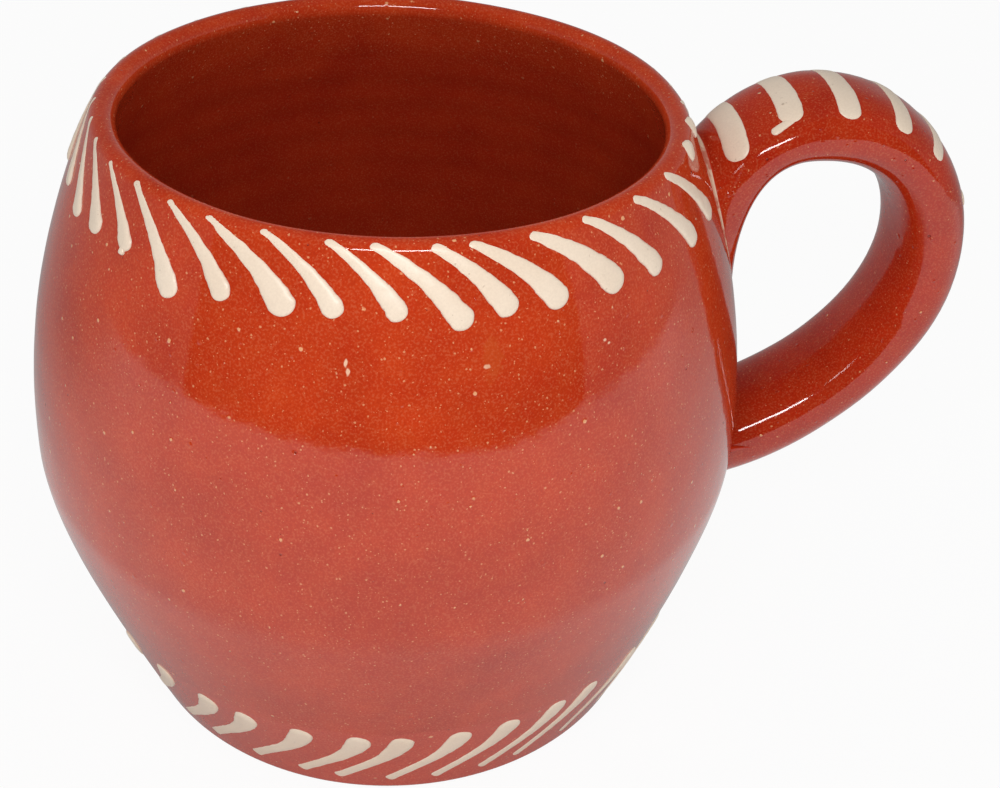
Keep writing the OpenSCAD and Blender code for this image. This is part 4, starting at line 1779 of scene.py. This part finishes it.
@dataclass(frozen=True)
class LightTent:
    """Inside of a light tent as the glaze mirrors it: pale floor, grey sides, dark opening and top.

    Only reflections show it. Sizes are in metres, angles in degrees from +X, levels as shares of
    white.
    """

    radius: float = 0.46
    height: float = 0.6
    lift: float = 0.0002
    near_floor: float = 1.08
    far_floor: float = 0.36
    shaded_floor: float = 0.3
    floor_turns_dark: tuple[float, float] = (-0.06, 0.10)
    shade: tuple[float, float] = (0.036, 0.075)
    side: float = 0.36
    top: float = 0.08
    sides_fade: tuple[float, float] = (6.0, 50.0)
    opening: tuple[float, float] = (-156.0, -36.0)
    opening_edge: float = 0.8
    columns: int = 720
    floor_rings: tuple[float, ...] = (0.0, 0.04, 0.07, 0.1, 0.14, 0.2, 0.3, 0.46)
    wall_rings: tuple[float, ...] = (0.01, 0.05, 0.1, 0.16, 0.23, 0.31, 0.4)
    roof_rings: tuple[tuple[float, float], ...] = ((0.4, 0.5), (0.25, 0.57), (0.0, 0.6))

    @staticmethod
    def _smooth(low: float, high: float, value: np.ndarray) -> np.ndarray:
        """Smooth step from 0 to 1 while a value runs from one bound to another."""
        share = np.clip((value - low) / (high - low), 0, 1)
        return share * share * (3 - 2 * share)

    def _levels(self, points: np.ndarray, on_floor: bool) -> np.ndarray:
        """Brightness of the tent at some of its points.

        Args:
            points: The points.
            on_floor: Whether they lie on the floor.

        Returns:
            The level at each point.
        """
        if on_floor:
            dark = self._smooth(*self.floor_turns_dark, points[:, 1])
            clear = self._smooth(*self.shade, np.hypot(points[:, 0], points[:, 1]))
            lit = self.near_floor + (self.far_floor - self.near_floor) * dark
            return lit * (self.shaded_floor + (1 - self.shaded_floor) * clear)
        azimuth = np.degrees(np.arctan2(points[:, 1], points[:, 0]))
        climb = np.degrees(np.arctan2(points[:, 2], np.hypot(points[:, 0], points[:, 1])))
        first, last = self.opening
        half_edge = self.opening_edge / 2
        opened = self._smooth(first - half_edge, first + half_edge, azimuth)
        opened = opened * (1 - self._smooth(last - half_edge, last + half_edge, azimuth))
        level = self.side + (self.top - self.side) * self._smooth(*self.sides_fade, climb)
        return level * (1 - opened)

    def build(self) -> bpy.types.Object:
        """Make the tent.

        Returns:
            The tent, with its brightness in an attribute.
        """
        walls = [(self.radius, height) for height in self.wall_rings]
        rings = [(radius, self.lift) for radius in self.floor_rings] + walls + list(self.roof_rings)
        angles = np.radians(np.linspace(-180, 180, self.columns + 1))
        points, levels = [], []
        for number, (radius, height) in enumerate(rings):
            heights = np.full(len(angles), height)
            ring = np.column_stack([radius * np.cos(angles), radius * np.sin(angles), heights])
            points.append(ring)
            levels.append(self._levels(ring, number < len(self.floor_rings)))
        across = self.columns + 1
        faces = [
            (row * across + i, row * across + i + 1, (row + 1) * across + i + 1, (row + 1) * across + i)
            for row in range(len(rings) - 1)
            for i in range(self.columns)
        ]
        mesh = bpy.data.meshes.new("light_tent")
        mesh.from_pydata(np.vstack(points).tolist(), [], faces)
        mark_points(mesh, "level", np.concatenate(levels))
        material = bpy.data.materials.new("tent_cloth")
        n = Nodes.cleared(material)
        glow = n.add("ShaderNodeEmission", {"Color": WHITE, "Strength": n.attribute("level")})
        n.add("ShaderNodeOutputMaterial", {"Surface": glow.outputs[0]})
        mesh.materials.append(material)
        tent = placed("light_tent", mesh)
        tent.visible_camera = False
        tent.visible_diffuse = False
        tent.visible_transmission = False
        tent.visible_shadow = False
        return tent


@dataclass
class Studio:
    """Pale floor, soft light all round, a lamp by the camera and a light tent in the reflections.

    Lengths are in metres, and the camera's lens and its sensor are in millimetres. The fill goes
    over from its side level to its top level between two heights of the sky, where 1 is overhead.
    """

    floor_size: float = 6.0
    floor_colour: Colour = screen_colour(247, 247, 246)
    floor_glow: float = 0.93
    side_fill: float = 0.75
    top_fill: float = 0.46
    fill_heights: tuple[float, float] = (0.15, 0.8)
    lamp_power: float = 0.16
    lamp_size: tuple[float, float] = (0.1, 0.018)
    lamp_rise: float = 0.03
    lamp_target: tuple[float, float, float] = (0.0, 0.0, 0.06)
    camera_place: tuple[float, float, float] = (-0.01579788, -0.18057060, 0.16832902)
    camera_turn: tuple[float, float, float] = (55.07223307, -2.97998164, -7.99439793)
    camera_lens: float = 54.0
    camera_sensor: float = 36.0
    camera_near: float = 1 * MM
    tent: LightTent = LightTent()

    def build(self) -> None:
        """Make the floor, the light and the camera."""
        self._world()
        self._floor()
        self._lamp()
        self.tent.build()
        self._camera()
        view = bpy.context.scene.view_settings
        view.view_transform = "Standard"

    def _world(self) -> None:
        """Light the scene from all round, less from above, and show white behind it."""
        world = bpy.data.worlds.new("studio")
        n = Nodes.cleared(world)
        rays = n.add("ShaderNodeLightPath").outputs
        shown = n.math("MAXIMUM", rays["Is Camera Ray"], rays["Is Glossy Ray"])
        shown = n.math("MAXIMUM", shown, rays["Is Transmission Ray"])
        direction = n.add("ShaderNodeTexCoord").outputs["Generated"]
        fill = n.ramp(n.height(direction), *self.fill_heights, self.side_fill, self.top_fill)
        strength = n.math("MAXIMUM", shown, fill)
        light = n.add("ShaderNodeBackground", {"Color": WHITE, "Strength": strength})
        n.add("ShaderNodeOutputWorld", {"Surface": light.outputs[0]})
        bpy.context.scene.world = world

    def _floor(self) -> None:
        """Lay the pale floor."""
        half = self.floor_size / 2
        corners = [(-half, -half, 0), (half, -half, 0), (half, half, 0), (-half, half, 0)]
        mesh = bpy.data.meshes.new("floor")
        mesh.from_pydata(corners, [], [(0, 1, 2, 3)])
        material = bpy.data.materials.new("white_paper")
        n = Nodes.cleared(material)
        rays = n.add("ShaderNodeLightPath").outputs
        shown = n.math("MAXIMUM", rays["Is Camera Ray"], rays["Is Glossy Ray"])
        paper = n.add("ShaderNodeBsdfDiffuse", {"Color": self.floor_colour})
        glow = n.add("ShaderNodeEmission", {"Color": WHITE, "Strength": 1.0})
        share = n.math("MULTIPLY", shown, self.floor_glow)
        both = n.add("ShaderNodeMixShader", {0: share, 1: paper.outputs[0], 2: glow.outputs[0]})
        n.add("ShaderNodeOutputMaterial", {"Surface": both.outputs[0]})
        mesh.materials.append(material)
        floor = placed("floor", mesh)

    def _lamp(self) -> None:
        """Hang a small lamp just over the camera, aimed at the mug."""
        light = bpy.data.lights.new("front_lamp", "AREA")
        light.shape = "RECTANGLE"
        light.size, light.size_y = self.lamp_size
        light.energy = self.lamp_power
        lamp = placed("front_lamp", light)
        turn = Euler([math.radians(angle) for angle in self.camera_turn]).to_matrix()
        up = turn @ Vector((0.0, 1.0, 0.0))
        lamp.location = Vector(self.camera_place) + self.lamp_rise * up
        aim = Vector(self.lamp_target) - lamp.location
        lamp.rotation_euler = aim.to_track_quat("-Z", "Y").to_euler()

    def _camera(self) -> None:
        """Put the camera where the photograph was taken from."""
        camera = bpy.data.cameras.new("camera")
        camera.lens = self.camera_lens
        camera.sensor_width = self.camera_sensor
        camera.clip_start = self.camera_near
        holder = placed("camera", camera)
        holder.location = self.camera_place
        holder.rotation_euler = [math.radians(angle) for angle in self.camera_turn]
        bpy.context.scene.camera = holder


def main() -> None:
    """Build the studio and the mug, piece by piece."""
    logging.basicConfig(level=logging.INFO, format="%(message)s")
    Studio().build()
    clay = GlazedClay().material()
    slip = SlipFinish().material()
    luting = LutingFinish().material()
    wall = Wall()
    body = wall.dress(clay)
    strap = Strap(wall)
    handle = strap.dress(PulledClay().material())
    for root in Root:
        Luting(strap, root, body, handle).dress(luting)
    carriers = {Border.RIM: body, Border.HANDLE: handle, Border.FOOT: body}
    for border, carrier in carriers.items():
        StrokeBorder(border, STYLES[border], carrier).build(slip)


if __name__ == "__main__":
    main()
